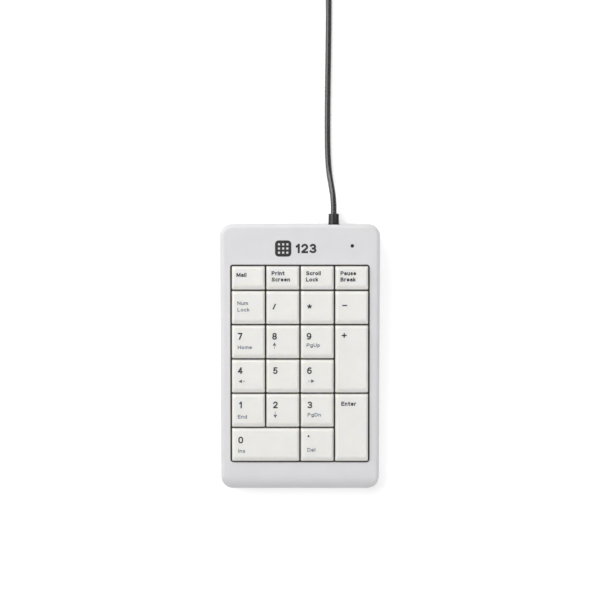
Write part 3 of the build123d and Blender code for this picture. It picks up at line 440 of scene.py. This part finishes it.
def dress_cad_nodes(finishes):
    slots = {part["node"]: part["material_slot"] for part in frame["record"]["subparts"]}
    for name, node in frame["nodes"].items():
        for place in node.material_slots:
            place.material = finishes[slots[name]]
    relief = plastic("relief_rubber", (0.014, 0.014, 0.013), 0.36, 0.3 * MM, 0.008 * MM, 0.7)
    for place in frame["nodes"]["strain_relief"].material_slots:
        place.material = relief


# ---- meshes ----


def new_piece(name, mesh, material, body):
    """A piece of the keypad, in place, riding on a body."""
    mesh.materials.clear()
    mesh.materials.append(material)
    piece = bpy.data.objects.new(name, mesh)
    bpy.context.collection.objects.link(piece)
    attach(piece, body)
    return piece


def deck_box(node):
    """A node's lowest and highest corner in the deck's frame."""
    points = [DECK_INVERSE @ vertex.co for vertex in frame["nodes"][node].data.vertices]
    low = Vector([min(point[axis] for point in points) for axis in range(3)])
    high = Vector([max(point[axis] for point in points) for axis in range(3)])
    return low, high


def turned_mesh(name, profile, sides=48):
    """A mesh turned about its own Z from a closed profile of (radius, height) points, off the axis."""
    shape = bmesh.new()
    rings = []
    for step in range(sides):
        angle = 2 * pi * step / sides
        ring = [shape.verts.new((r * cos(angle), r * sin(angle), z)) for r, z in profile]
        rings.append(ring)
    for step in range(sides):
        here, there = rings[step], rings[(step + 1) % sides]
        for i in range(len(profile)):
            j = (i + 1) % len(profile)
            shape.faces.new((here[i], there[i], there[j], here[j]))
    return finished(shape, name)


def finished(shape, name, sharp=40):
    """The mesh of a bmesh, smooth but for the edges that turn by more than sharp degrees."""
    bmesh.ops.recalc_face_normals(shape, faces=shape.faces)
    mesh = bpy.data.meshes.new(name)
    shape.to_mesh(mesh)
    shape.free()
    mesh.shade_smooth()
    mesh.set_sharp_from_angle(angle=radians(sharp))
    return mesh


def boolean(carrier, tool_mesh, operation, crossing=False):
    """Cuts a mesh out of an object's mesh, or joins it on. Crossing is for one that runs through itself."""
    tool = bpy.data.objects.new("tool", tool_mesh)
    for item in (carrier, tool):
        if item.name not in bpy.context.collection.objects:
            bpy.context.collection.objects.link(item)
    modifier = carrier.modifiers.new("boolean", "BOOLEAN")
    modifier.operation = operation
    modifier.solver = "EXACT"
    modifier.use_self = crossing
    modifier.object = tool
    bpy.context.view_layer.update()
    done = bpy.data.meshes.new_from_object(carrier.evaluated_get(bpy.context.evaluated_depsgraph_get()))
    carrier.modifiers.clear()
    carrier.data = done
    bpy.data.objects.remove(tool)


# ---- keycaps ----


def ring_side(ring, turn, steps):
    """One side of a rounded rectangle, from the middle of one corner to the middle of the next."""
    half, front, rear, corner = ring
    places = [(-half, front, 1, 1), (half, front, -1, 1), (half, rear, -1, -1), (-half, rear, 1, -1)]
    centres = [(x + corner * inward_x, y + corner * inward_y) for x, y, inward_x, inward_y in places]
    first, second = centres[turn], centres[(turn + 1) % 4]
    points = []
    for step in range(CORNER_STEPS + 1):
        angle = radians(225 + 90 * turn + 45 * step / CORNER_STEPS)
        points.append((first[0] + corner * cos(angle), first[1] + corner * sin(angle)))
    leaving = radians(270 + 90 * turn)
    goal = (second[0] + corner * cos(leaving), second[1] + corner * sin(leaving))
    start = points[-1]
    for step in range(1, steps):
        share = step / steps
        points.append((start[0] + (goal[0] - start[0]) * share, start[1] + (goal[1] - start[1]) * share))
    for step in range(CORNER_STEPS + 1):
        angle = leaving + radians(45 * step / CORNER_STEPS)
        points.append((second[0] + corner * cos(angle), second[1] + corner * sin(angle)))
    return points


def add_ring(shape, ring, steps, height):
    """Adds a ring's points, side by side, at the height that a function gives for each place along u."""
    sides = []
    for turn in range(4):
        points = ring_side(ring, turn, steps[turn % 2])[:-1]
        sides.append([shape.verts.new((x, y, height(x))) for x, y in points])
    return sides


def bridge(shape, first, second):
    """Faces between two rings."""
    here = [vert for side in first for vert in side]
    there = [vert for side in second for vert in side]
    for i in range(len(here)):
        j = (i + 1) % len(here)
        shape.faces.new((here[i], here[j], there[j], there[i]))


def fill_ring(shape, sides, height):
    """Fills a ring with a grid of four-sided faces."""
    front = sides[0] + [sides[1][0]]
    right = sides[1] + [sides[2][0]]
    rear = (sides[2] + [sides[3][0]])[::-1]
    left = (sides[3] + [sides[0][0]])[::-1]
    across, along = len(front) - 1, len(left) - 1
    corners = [front[0].co, front[-1].co, rear[0].co, rear[-1].co]
    grid = [list(front)]
    for j in range(1, along):
        t = j / along
        row = [left[j]]
        for i in range(1, across):
            s = i / across
            place = (1 - t) * front[i].co + t * rear[i].co + (1 - s) * left[j].co + s * right[j].co
            near = (1 - s) * corners[0] + s * corners[1]
            far = (1 - s) * corners[2] + s * corners[3]
            place -= (1 - t) * near + t * far
            row.append(shape.verts.new((place.x, place.y, height(place.x))))
        grid.append(row + [right[j]])
    grid.append(list(rear))
    for low, high in zip(grid, grid[1:]):
        for i in range(across):
            shape.faces.new((low[i], low[i + 1], high[i + 1], high[i]))


def cap_ring(width, length, inset, inward):
    """A ring round a keycap, inset from its foot. Inward is 0 at the shoulder's foot and 1 at the top."""
    side, front, rear = 0, 0, 0
    if inward:
        flanks = (FLANK_SIDE, FLANK_FRONT, FLANK_REAR)
        side, front, rear = (SKIRT_LEAN + (flank - SKIRT_LEAN) * inward for flank in flanks)
    corner = CAP_CORNER + (CAP_TOP_CORNER - CAP_CORNER) * inward - 0.5 * inset
    return width / 2 - side - inset, front + inset - length / 2, length / 2 - rear - inset, corner


def cap_shell(width, length):
    """A keycap's shell about the key's own middle, with a dished top, a rounded shoulder and a skirt."""
    steps = [ceil((size - 2 * CAP_TOP_CORNER) / FACE_SIZE) for size in (width, length)]
    shape = bmesh.new()

    def top(u):
        return cap_surface(u, width / 2 - FLANK_SIDE)

    rings = []
    shoulder_steps = 8
    for step in range(shoulder_steps + 1):
        angle = pi / 2 * step / shoulder_steps
        inward = 1 - sin(angle) ** (2 / SHOULDER_POWER)
        share = 1 - max(cos(angle), 0) ** (2 / SHOULDER_POWER)
        foot = inward < 0.001
        ring = cap_ring(width, length, SKIRT_LEAN if foot else 0, 0 if foot else inward)
        rings.append(add_ring(shape, ring, steps, lambda u: top(u) * (1 - share) + CAP_SHOULDER * share))
    roof = CAP_TOP - CAP_ROOF
    below = [
        (0.4 * SKIRT_LEAN, 0, -0.8 * MM),
        (0, 0, CAP_SKIRT + CAP_EDGE),
        (CAP_EDGE, 0, CAP_SKIRT),
        (CAP_WALL - CAP_EDGE, 0, CAP_SKIRT),
        (CAP_WALL, 0, CAP_SKIRT + CAP_EDGE),
        (CAP_WALL + SKIRT_LEAN, 0, CAP_SHOULDER - CAP_THINNING),
        (CAP_WALL, 0.45, roof - 0.25 * MM),
        (CAP_WALL, 0.7, roof),
    ]
    for inset, inward, height in below:
        ring = cap_ring(width, length, inset, inward)
        rings.append(add_ring(shape, ring, steps, lambda u: height))
    for first, second in zip(rings, rings[1:]):
        bridge(shape, first, second)
    fill_ring(shape, rings[0], top)
    fill_ring(shape, rings[-1], lambda u: roof)
    return finished(shape, "cap_shell")


def extruded(outline, low, high, name):
    """A solid over a flat outline of (x, y) points, between two heights."""
    shape = bmesh.new()
    bottom = [shape.verts.new((x, y, low)) for x, y in outline]
    upper = [shape.verts.new((x, y, high)) for x, y in outline]
    shape.faces.new(upper)
    shape.faces.new(bottom[::-1])
    for i in range(len(outline)):
        j = (i + 1) % len(outline)
        shape.faces.new((bottom[i], bottom[j], upper[j], upper[i]))
    return finished(shape, name, 30)


def cap_stem():
    """The hollow stem with its two hooks."""
    roof, edge = CAP_TOP - CAP_ROOF, 0.2 * MM
    profile = [
        (STEM_BORE_R, roof + edge),
        (STEM_BORE_R, STEM_BOTTOM + edge),
        (STEM_BORE_R + edge, STEM_BOTTOM),
        (STEM_R - edge, STEM_BOTTOM),
        (STEM_R, STEM_BOTTOM + edge),
        (STEM_R, roof + edge),
    ]
    stem = bpy.data.objects.new("stem", turned_mesh("stem", profile, 40))
    for side in (-1, 1):
        near, far, half = side * (STEM_R - 0.5 * MM), side * (STEM_R + HOOK_REACH), HOOK_SIZE[0] / 2
        outline = [(near, -half), (far, -half), (far, half), (near, half)]
        hook = extruded(outline[::side], STEM_BOTTOM + 0.02 * MM, STEM_BOTTOM + HOOK_SIZE[1], "hook")
        boolean(stem, hook, "UNION")
    mesh = stem.data
    bpy.data.objects.remove(stem)
    mesh.transform(Matrix.Translation((0, STEM_V, 0)))
    return mesh


def stabiliser_clip(place, along):
    """A split ring under a long cap's roof, round the stabiliser's bar."""
    radius, wall, half_width = 0.85 * MM, 0.8 * MM, 1.0 * MM
    opening, steps = 108, 12  # the opening faces down, in degrees
    bar_v, bar_w = 5.0 * MM, -1.95 * MM
    outline = [(-radius - wall, bar_w - radius), (-radius - wall, CAP_TOP - CAP_ROOF + 0.2 * MM)]
    outline += [(radius + wall, CAP_TOP - CAP_ROOF + 0.2 * MM), (radius + wall, bar_w - radius)]
    for step in range(steps + 1):
        angle = radians(opening / 2 - 90 + (360 - opening) * step / steps)
        outline.append((radius * cos(angle), bar_w + radius * sin(angle)))
    mesh = extruded(outline[::-1], -half_width, half_width, "clip")
    mesh.transform(Matrix.Rotation(pi / 2, 4, "Z") @ Matrix.Rotation(pi / 2, 4, "X"))
    mesh.transform(Matrix.Translation((place, bar_v, 0)))
    if along:
        mesh.transform(Matrix.Rotation(pi / 2, 4, "Z"))
    return mesh


def make_caps(material):
    """All the keycaps. Keys of one size share one drawing."""
    clip_place, shapes = 8.5 * MM, {}
    for name in KEYS:
        low, high = deck_box(name)
        width, length = high.x - low.x, high.y - low.y
        size = (round(width / MM, 2), round(length / MM, 2))
        if size not in shapes:
            carrier = bpy.data.objects.new("cap", cap_shell(width, length))
            boolean(carrier, cap_stem(), "UNION")
            if max(size) > 1.5 * min(size):
                for place in (-clip_place, clip_place):
                    boolean(carrier, stabiliser_clip(place, length > width), "UNION")
            shapes[size] = carrier.data
            bpy.data.objects.remove(carrier)
        mesh = shapes[size].copy()
        mesh.transform(DECK @ Matrix.Translation(((low.x + high.x) / 2, (low.y + high.y) / 2, 0)))
        cap = new_piece(name.replace("key", "cap"), mesh, material, name)
        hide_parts(name)


# ---- printing on the keys and the deck ----

BLACK, BLUE_GREY, GREY = "print_black", "print_blue_grey", "print_grey"
FIRST, SECOND = -5.85, -3.9  # left edge of a legend and baseline of its second line, from the key's middle
DIGIT = 3.75  # height of a digit, and below of the words' capitals
WORD, SMALL_WORD = 2.25, 2.05
DIGIT_BASE = 1.35

# Each key's marks, in millimetres from its middle: text, left edge, baseline, height of a capital and ink.
LEGENDS = {
    "key_mail": [("Mail", -6.5, 0.7, WORD, BLACK)],
    "key_print_screen": [("Print", -6.15, 1.6, WORD, BLACK), ("Screen", -6.15, -1.85, WORD, BLACK)],
    "key_scroll_lock": [("Scroll", -6.2, 1.6, WORD, BLACK), ("Lock", -6.2, -1.85, WORD, BLACK)],
    "key_pause": [("Pause", -6.2, 1.6, WORD, BLACK), ("Break", -6.2, -1.85, WORD, BLACK)],
    "key_num_lock": [
        ("Num", -6.0, 1.5, SMALL_WORD, BLUE_GREY),
        ("Lock", -6.0, -2.1, SMALL_WORD, BLUE_GREY),
    ],
    "key_divide": [("/", -5.6, -0.95, 3.15, BLACK)],
    "key_multiply": [("*", -5.55, -0.5, 2.45, BLACK)],
    "key_minus": [("−", -5.25, 0.9, 2.6, BLACK)],
    "key_7": [("7", FIRST, DIGIT_BASE, DIGIT, BLACK), ("Home", FIRST, SECOND, SMALL_WORD, BLUE_GREY)],
    "key_8": [("8", FIRST, DIGIT_BASE, DIGIT, BLACK), ("up", -4.6, -1.9, 3.6, GREY)],
    "key_9": [("9", FIRST, DIGIT_BASE, DIGIT, BLACK), ("PgUp", FIRST, -2.75, SMALL_WORD, BLUE_GREY)],
    "key_plus": [("+", -5.55, 11.9, 2.65, BLACK)],
    "key_4": [("4", FIRST, DIGIT_BASE, DIGIT, BLACK), ("left", -3.6, -2.75, 3.7, GREY)],
    "key_5": [("5", -5.4, DIGIT_BASE, DIGIT, BLACK)],
    "key_6": [("6", -5.6, DIGIT_BASE, DIGIT, BLACK), ("right", -3.3, -2.6, 3.7, GREY)],
    "key_1": [("1", FIRST, DIGIT_BASE, DIGIT, BLACK), ("End", FIRST, -4.4, SMALL_WORD, BLUE_GREY)],
    "key_2": [("2", -5.4, DIGIT_BASE, DIGIT, BLACK), ("down", -4.2, -2.3, 3.7, GREY)],
    "key_3": [("3", -5.35, DIGIT_BASE, DIGIT, BLACK), ("PgDn", -5.3, -3.3, SMALL_WORD, BLUE_GREY)],
    "key_enter": [("Enter", -5.7, 12.2, 2.35, BLACK)],
    "key_0": [("0", -15.1, 0.85, DIGIT, BLACK), ("Ins", -15.1, -4.35, SMALL_WORD, BLUE_GREY)],
    "key_decimal": [("dot", -4.8, 4.85, 1.1, BLACK), ("Del", -5.45, -3.8, 2.1, BLUE_GREY)],
}
ARROWS = {"up": 0, "left": 90, "down": 180, "right": -90}
# The pen's width, the stretch and the gap between letters, by the ink and by whether it is a word.
LETTERING = {
    (BLACK, True): (0.5 * MM, 1.18, 0.27 * MM),
    (BLACK, False): (0.7 * MM, 1.08, 0.4 * MM),
    (BLUE_GREY, True): (0.36 * MM, 1.3, 0.36 * MM),
}


def arc(x, y, across, up, start, end):
    """Points along an ellipse's arc, between two angles in degrees."""
    steps = max(2, ceil(abs(end - start) / 15))
    angles = [radians(start + (end - start) * step / steps) for step in range(steps + 1)]
    return [(x + across * cos(angle), y + up * sin(angle)) for angle in angles]


def star(arms):
    """Lines from the middle of a square to its inscribed circle."""
    ends = arc(0.5, 0.5, 0.5, 0.5, 90, 90 + 360 * (arms - 1) / arms)
    step = (len(ends) - 1) // (arms - 1)
    return [[(0.5, 0.5), end] for end in ends[::step]]


# Each letter's strokes, as the middle lines of a pen. A capital is 1 high and a small letter 0.7.
GLYPHS = {
    "0": [arc(0.29, 0.68, 0.29, 0.32, 0, 180) + arc(0.29, 0.32, 0.29, 0.32, 180, 360) + [(0.58, 0.68)]],
    "1": [[(0.46, 0), (0.46, 1)], [(0.22, 0.77), (0.42, 0.94)]],
    "2": [arc(0.29, 0.71, 0.28, 0.29, 165, -35) + [(0.04, 0.06)], [(0.02, 0), (0.56, 0)]],
    "3": [arc(0.27, 0.75, 0.26, 0.25, 150, -90), arc(0.27, 0.25, 0.30, 0.25, 90, -150)],
    "4": [[(0.44, 0), (0.44, 1)], [(0.40, 0.93), (0.04, 0.34)], [(0.02, 0.28), (0.60, 0.28)]],
    "5": [[(0.52, 1), (0.10, 1), (0.07, 0.52)], arc(0.27, 0.31, 0.29, 0.31, 140, -145)],
    "6": [arc(0.29, 0.31, 0.29, 0.31, 0, 360), [(0, 0.31), (0, 0.5)] + arc(0.33, 0.5, 0.33, 0.5, 165, 60)],
    "7": [[(0, 1), (0.56, 1)], [(0.53, 0.93), (0.20, 0)]],
    "8": [arc(0.29, 0.75, 0.25, 0.25, 0, 360), arc(0.29, 0.25, 0.29, 0.25, 0, 360)],
    "9": [
        arc(0.29, 0.69, 0.29, 0.31, 0, 360),
        [(0.58, 0.69), (0.58, 0.5)] + arc(0.25, 0.5, 0.33, 0.5, -15, -120),
    ],
    "/": [[(0, 0), (0.42, 1)]],
    "*": star(5),
    "−": [[(0, 0), (1, 0)]],
    "+": [[(0, 0.5), (1, 0.5)], [(0.5, 0), (0.5, 1)]],
    "B": [
        [(0, 0.52), (0, 1), (0.32, 1)] + arc(0.32, 0.76, 0.22, 0.24, 75, -90) + [(0, 0.52)],
        [(0, 0.52), (0.35, 0.52)] + arc(0.35, 0.26, 0.26, 0.26, 75, -90) + [(0, 0), (0, 0.52)],
    ],
    "D": [[(0.28, 1), (0, 1), (0, 0), (0.28, 0)] + arc(0.28, 0.5, 0.36, 0.5, -75, 90)],
    "E": [[(0.52, 1), (0, 1), (0, 0), (0.52, 0)], [(0, 0.52), (0.47, 0.52)]],
    "H": [[(0, 0), (0, 1)], [(0.62, 0), (0.62, 1)], [(0, 0.52), (0.62, 0.52)]],
    "I": [[(0, 0), (0, 1)]],
    "L": [[(0, 1), (0, 0), (0.5, 0)]],
    "M": [
        [(0, 0), (0, 1)],
        [(0.05, 0.93), (0.42, 0.12)],
        [(0.42, 0.12), (0.79, 0.93)],
        [(0.84, 0), (0.84, 1)],
    ],
    "N": [[(0, 0), (0, 1)], [(0.05, 0.94), (0.58, 0.06)], [(0.63, 0), (0.63, 1)]],
    "P": [[(0, 0), (0, 1), (0.34, 1)] + arc(0.34, 0.74, 0.26, 0.26, 75, -90) + [(0, 0.48)]],
    "S": [arc(0.31, 0.745, 0.28, 0.255, 20, 270) + arc(0.31, 0.245, 0.31, 0.245, 75, -160)],
    "U": [[(0, 1), (0, 0.3)] + arc(0.31, 0.3, 0.31, 0.3, 195, 360) + [(0.62, 1)]],
    "a": [
        arc(0.24, 0.48, 0.22, 0.22, 155, 0) + [(0.46, 0)],
        [(0.46, 0.41), (0.2, 0.41)] + arc(0.2, 0.205, 0.2, 0.205, 105, 270) + [(0.3, 0), (0.46, 0.14)],
    ],
    "c": [arc(0.25, 0.35, 0.25, 0.35, 50, 310)],
    "d": [arc(0.25, 0.35, 0.25, 0.35, 0, 360), [(0.5, 0), (0.5, 1)]],
    "e": [[(0.02, 0.36), (0.5, 0.36)] + arc(0.25, 0.35, 0.25, 0.35, 15, 315)],
    "g": [
        arc(0.25, 0.35, 0.25, 0.35, 0, 360),
        [(0.5, 0.7), (0.5, 0)] + arc(0.25, -0.04, 0.25, 0.24, -15, -150),
    ],
    "i": [[(0, 0), (0, 0.7)], [(0, 0.97), (0, 0.99)]],
    "k": [[(0, 0), (0, 1)], [(0.40, 0.68), (0.03, 0.28)], [(0.16, 0.40), (0.43, 0.02)]],
    "l": [[(0, 0), (0, 1)]],
    "m": [
        [(0, 0), (0, 0.7)],
        arc(0.19, 0.49, 0.19, 0.21, 180, 0) + [(0.38, 0)],
        arc(0.57, 0.49, 0.19, 0.21, 180, 0) + [(0.76, 0)],
    ],
    "n": [[(0, 0), (0, 0.7)], arc(0.23, 0.47, 0.23, 0.23, 180, 0) + [(0.46, 0)]],
    "o": [arc(0.26, 0.35, 0.26, 0.35, 0, 360)],
    "p": [arc(0.25, 0.35, 0.25, 0.35, 0, 360), [(0, 0.7), (0, -0.26)]],
    "r": [[(0, 0), (0, 0.7)], arc(0.24, 0.44, 0.24, 0.26, 180, 75)],
    "s": [arc(0.215, 0.525, 0.19, 0.175, 25, 270) + arc(0.215, 0.175, 0.215, 0.175, 75, -155)],
    "t": [[(0.16, 0.95), (0.16, 0.17)] + arc(0.33, 0.17, 0.17, 0.17, 195, 280), [(0, 0.7), (0.36, 0.7)]],
    "u": [[(0, 0.7), (0, 0.23)] + arc(0.23, 0.23, 0.23, 0.23, 195, 360), [(0.46, 0.7), (0.46, 0)]],
}


def add_stroke(shape, path, pen):
    """Adds a pen's stroke along a path as a slab, with square ends, INK high each way."""
    points = [Vector(point) for point in path]
    closed = len(points) > 2 and (points[0] - points[-1]).length < 0.01 * pen
    if closed:
        points.pop()
        ways = [(points[(i + 1) % len(points)] - points[i]).normalized() for i in range(len(points))]
        before = [ways[i - 1] for i in range(len(points))]
    else:
        ways = [(there - here).normalized() for here, there in zip(points, points[1:])]
        points[0] = points[0] - ways[0] * pen / 2
        points[-1] = points[-1] + ways[-1] * pen / 2
        before = [ways[0]] + ways
        ways = ways + [ways[-1]]
    rings = []
    for point, way_in, way_out in zip(points, before, ways):
        aside_in, aside_out = Vector((-way_in.y, way_in.x)), Vector((-way_out.y, way_out.x))
        mitre = (aside_in + aside_out) / (1 + aside_in.dot(aside_out)) * pen / 2
        corners = [(point + mitre, -INK), (point - mitre, -INK), (point - mitre, INK), (point + mitre, INK)]
        rings.append([shape.verts.new((*corner, height)) for corner, height in corners])
    for i in range(len(rings) - (0 if closed else 1)):
        here, there = rings[i], rings[(i + 1) % len(rings)]
        for k in range(4):
            shape.faces.new((here[k], here[(k + 1) % 4], there[(k + 1) % 4], there[k]))
    if not closed:
        shape.faces.new(rings[0][::-1])
        shape.faces.new(rings[-1])


def text_mesh(text, capital, pen, stretch, gap):
    """A flat slab of text, its baseline on y = 0 and its left edge on x = 0, INK high each way."""
    scale = capital - pen
    first, others = bmesh.new(), bmesh.new()
    x, shape = pen / 2, first
    for letter in text:
        strokes = GLYPHS[letter]
        for stroke in strokes:
            path = [(x + scale * stretch * point[0], pen / 2 + scale * point[1]) for point in stroke]
            add_stroke(shape, path, pen)
            shape = others
        x += scale * stretch * max(point[0] for stroke in strokes for point in stroke) + pen + gap
    carrier = bpy.data.objects.new("text", finished(first, "text"))
    if others.faces:
        boolean(carrier, finished(others, "strokes"), "UNION", True)
    mesh = carrier.data
    bpy.data.objects.remove(carrier)
    return mesh


def slab_mesh(outlines):
    """A slab INK high each way, over one or more flat outlines."""
    shape = bmesh.new()
    for outline in outlines:
        low = [shape.verts.new((x, y, -INK)) for x, y in outline]
        high = [shape.verts.new((x, y, INK)) for x, y in outline]
        shape.faces.new(high)
        shape.faces.new(low[::-1])
        for i in range(len(outline)):
            j = (i + 1) % len(outline)
            shape.faces.new((low[i], low[j], high[j], high[i]))
    mesh = bpy.data.meshes.new("slab")
    shape.to_mesh(mesh)
    shape.free()
    return mesh


def arrow_mesh(length, turn):
    """A solid arrowhead and, apart from it, a short dash, about their own middle."""
    half = length / 2
    head, wing, shaft, dash_start = 0.52 * length, 0.27 * length, 0.035 * length, -0.12 * length
    outline = [(0, half), (-wing, half - head), (wing, half - head)]
    dash = [(-shaft, dash_start), (-shaft, -half), (shaft, -half), (shaft, dash_start)]
    mesh = slab_mesh([outline, dash])
    mesh.transform(Matrix.Rotation(radians(turn), 4, "Z"))
    return mesh


def cap_surface(u, half_width):
    """The height of a keycap's dished top at a distance from its middle."""
    radius = (half_width**2 + CAP_DISH**2) / (2 * CAP_DISH)
    return CAP_TOP - CAP_DISH + radius - sqrt(radius**2 - u**2)


def mark_key(name, marks, inks):
    """Prints a key's marks on its top, all of one ink in one piece."""
    low, high = deck_box(name)
    middle = (low + high) / 2
    half_width = (high.x - low.x) / 2 - FLANK_SIDE
    by_ink = {}
    for text, u, v, size, colour in marks:
        if text in ARROWS:
            mesh = arrow_mesh(size * MM, ARROWS[text])
        elif text == "dot":
            mesh = slab_mesh([arc(0, 0, size * MM / 2, size * MM / 2, 0, 345)])
        else:
            mesh = text_mesh(text, size * MM, *LETTERING[colour, text.isalpha()])
        mesh.transform(Matrix.Translation((u * MM, v * MM, 0)))
        for vertex in mesh.vertices:
            vertex.co.z += cap_surface(vertex.co.x, half_width)
        mesh.transform(DECK @ Matrix.Translation((middle.x, middle.y, 0)))
        by_ink.setdefault(colour, []).append(mesh)
    for number, (colour, meshes) in enumerate(by_ink.items()):
        piece_name = name.replace("key", "legend") + ("_second" if number else "")
        new_piece(piece_name, joined(meshes), inks[colour], name)


def joined(meshes):
    """One mesh of several."""
    shape = bmesh.new()
    for mesh in meshes:
        shape.from_mesh(mesh)
        bpy.data.meshes.remove(mesh)
    mesh = bpy.data.meshes.new("joined")
    shape.to_mesh(mesh)
    shape.free()
    return mesh


def make_emblem(inks):
    """A small drawing of a keypad and the digits 123, printed behind the keys."""
    reach, corner_steps = EMBLEM_SIDE / 2 - EMBLEM_CORNER, 8
    outline = []
    for turn, (across, along) in enumerate(((1, 1), (-1, 1), (-1, -1), (1, -1))):
        for step in range(corner_steps + 1):
            angle = (turn + step / corner_steps) * pi / 2
            x = reach * across + EMBLEM_CORNER * cos(angle)
            y = reach * along + EMBLEM_CORNER * sin(angle)
            outline.append((x, y))
    square = slab_mesh([outline])
    square.transform(Matrix.Translation((*EMBLEM_CENTRE, 0)))
    carrier = bpy.data.objects.new("emblem_square", square)
    cutter = bmesh.new()
    dot = Matrix.Diagonal((EMBLEM_DOT, EMBLEM_DOT, 1 * MM, 1))
    for row in (-1, 0, 1):
        for column in (-1, 0, 1):
            x = EMBLEM_CENTRE[0] + column * EMBLEM_PITCH
            y = EMBLEM_CENTRE[1] + row * EMBLEM_PITCH
            bmesh.ops.create_cube(cutter, size=1, matrix=Matrix.Translation((x, y, 0)) @ dot)
    boolean(carrier, finished(cutter, "holes"), "DIFFERENCE")
    digits = text_mesh("123", 5.2 * MM, pen=1.15 * MM, stretch=1.15, gap=0.8 * MM)
    digits.transform(Matrix.Translation((*DIGITS_PLACE, 0)))
    mesh = joined([carrier.data.copy(), digits])
    bpy.data.objects.remove(carrier)
    mesh.transform(DECK)
    new_piece("emblem", mesh, inks[BLACK], "root")


# ---- domes ----


def make_domes(material):
    """A flat rubber sheet with a hollow dome under each key."""
    low, high = deck_box("dome_mat")
    shoulder = MAT_TOP + DOME_FLARE
    lip, top = 0.25 * MM, STEM_BOTTOM
    profile = [
        (DOME_BASE_R - DOME_WALL, MAT_TOP),
        (DOME_BASE_R, MAT_TOP),
        (DOME_BASE_R - 0.1 * MM, MAT_TOP + lip),
        (DOME_NECK_R, shoulder - lip),
        (DOME_NECK_R - 0.1 * MM, shoulder),
        (DOME_TOP_R, shoulder + lip),
        (DOME_TOP_R, top - lip),
        (DOME_TOP_R - lip, top),
        (0.4 * MM, top),
        (0.4 * MM, MAT_TOP + 0.5 * MM),
        (PLUNGER_R, MAT_TOP + 0.5 * MM),
        (PLUNGER_R, shoulder - lip),
        (DOME_NECK_R - DOME_WALL, shoulder - lip),
    ]
    cutter = bmesh.new()
    for name in KEYS:
        key_low, key_high = deck_box(name)
        middle = (key_low + key_high) / 2
        foot = Vector((middle.x, middle.y + STEM_V, 0))
        mesh = turned_mesh("dome", profile)
        mesh.transform(DECK @ Matrix.Translation(foot))
        dome = new_piece(name.replace("key", "dome"), mesh, material, "root")
        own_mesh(dome)
        radius = DOME_BASE_R - DOME_WALL
        bmesh.ops.create_cone(
            cutter,
            cap_ends=True,
            segments=48,
            radius1=radius,
            radius2=radius,
            depth=4 * MAT_BASE,
            matrix=Matrix.Translation(foot + Vector((0, 0, MAT_TOP))),
        )
    corners = [(low.x, low.y), (high.x, low.y), (high.x, high.y), (low.x, high.y)]
    mesh = extruded(corners, MAT_TOP - MAT_BASE, MAT_TOP, "dome_sheet")
    carrier = bpy.data.objects.new("dome_sheet_shape", mesh)
    boolean(carrier, finished(cutter, "holes"), "DIFFERENCE")
    mesh = carrier.data
    bpy.data.objects.remove(carrier)
    mesh.transform(DECK)
    sheet = new_piece("dome_sheet", mesh, material, "root")
    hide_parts("dome_mat")


# ---- stage ----


def make_floor():
    finish = Finish("floor", (0.90, 0.90, 0.90), 0.85, Emission_Strength=0.22)
    finish.shader.inputs["Emission Color"].default_value = (1, 1, 1, 1)
    finish.tint(finish.spread(finish.noise(0.2, 3), 0, 1), (0.89, 0.89, 0.89))
    half = 3.0
    corners = [(-half, -half, 0), (half, -half, 0), (half, half, 0), (-half, half, 0)]
    mesh = bpy.data.meshes.new("floor")
    mesh.from_pydata(corners, [], [(0, 1, 2, 3)])
    mesh.materials.append(finish.material)
    floor = bpy.data.objects.new("floor", mesh)
    bpy.context.collection.objects.link(floor)


def add_area_light(name, place, target, size, power, colour=(1, 1, 1)):
    data = bpy.data.lights.new(name, "AREA")
    data.shape = "RECTANGLE"
    data.size, data.size_y = size
    data.energy = power
    data.color = colour
    light = bpy.data.objects.new(name, data)
    light.location = place
    light.rotation_euler = (Vector(target) - Vector(place)).to_track_quat("-Z", "Y").to_euler()
    bpy.context.collection.objects.link(light)


def light_scene():
    world = bpy.data.worlds.new("studio")
    world.use_nodes = True
    background = world.node_tree.nodes["Background"]
    background.inputs["Color"].default_value = (1.0, 1.0, 1.0, 1)
    background.inputs["Strength"].default_value = 0.29
    bpy.context.scene.world = world
    middle = (0, 0.03, 0)
    add_area_light("left_panel", (-0.85, 0.45, 0.85), middle, (1.2, 1.3), 15.5, (1.0, 0.99, 0.975))
    add_area_light("key_light", (-0.2, 1.3, 1.2), middle, (1.4, 0.9), 12.2, (1.0, 0.995, 0.98))
    add_area_light("fill_light", (0.9, -0.6, 1.4), middle, (1.4, 1.0), 14)
    scene = bpy.context.scene
    scene.view_settings.view_transform = "Standard"
    scene.view_settings.look = "None"


def main():
    make_camera()
    finishes = make_finishes()
    make_cord(finishes["cord_black"])
    dress_cad_nodes(finishes)
    inks = {
        BLACK: ink(BLACK, (0.012, 0.012, 0.013)),
        BLUE_GREY: ink(BLUE_GREY, (0.095, 0.115, 0.15)),
        GREY: ink(GREY, (0.085, 0.088, 0.095)),
    }
    make_caps(finishes["keycap"])
    for name, marks in LEGENDS.items():
        mark_key(name, marks, inks)
    make_emblem(inks)
    make_domes(finishes["dome_rubber"])
    make_floor()
    light_scene()


main()
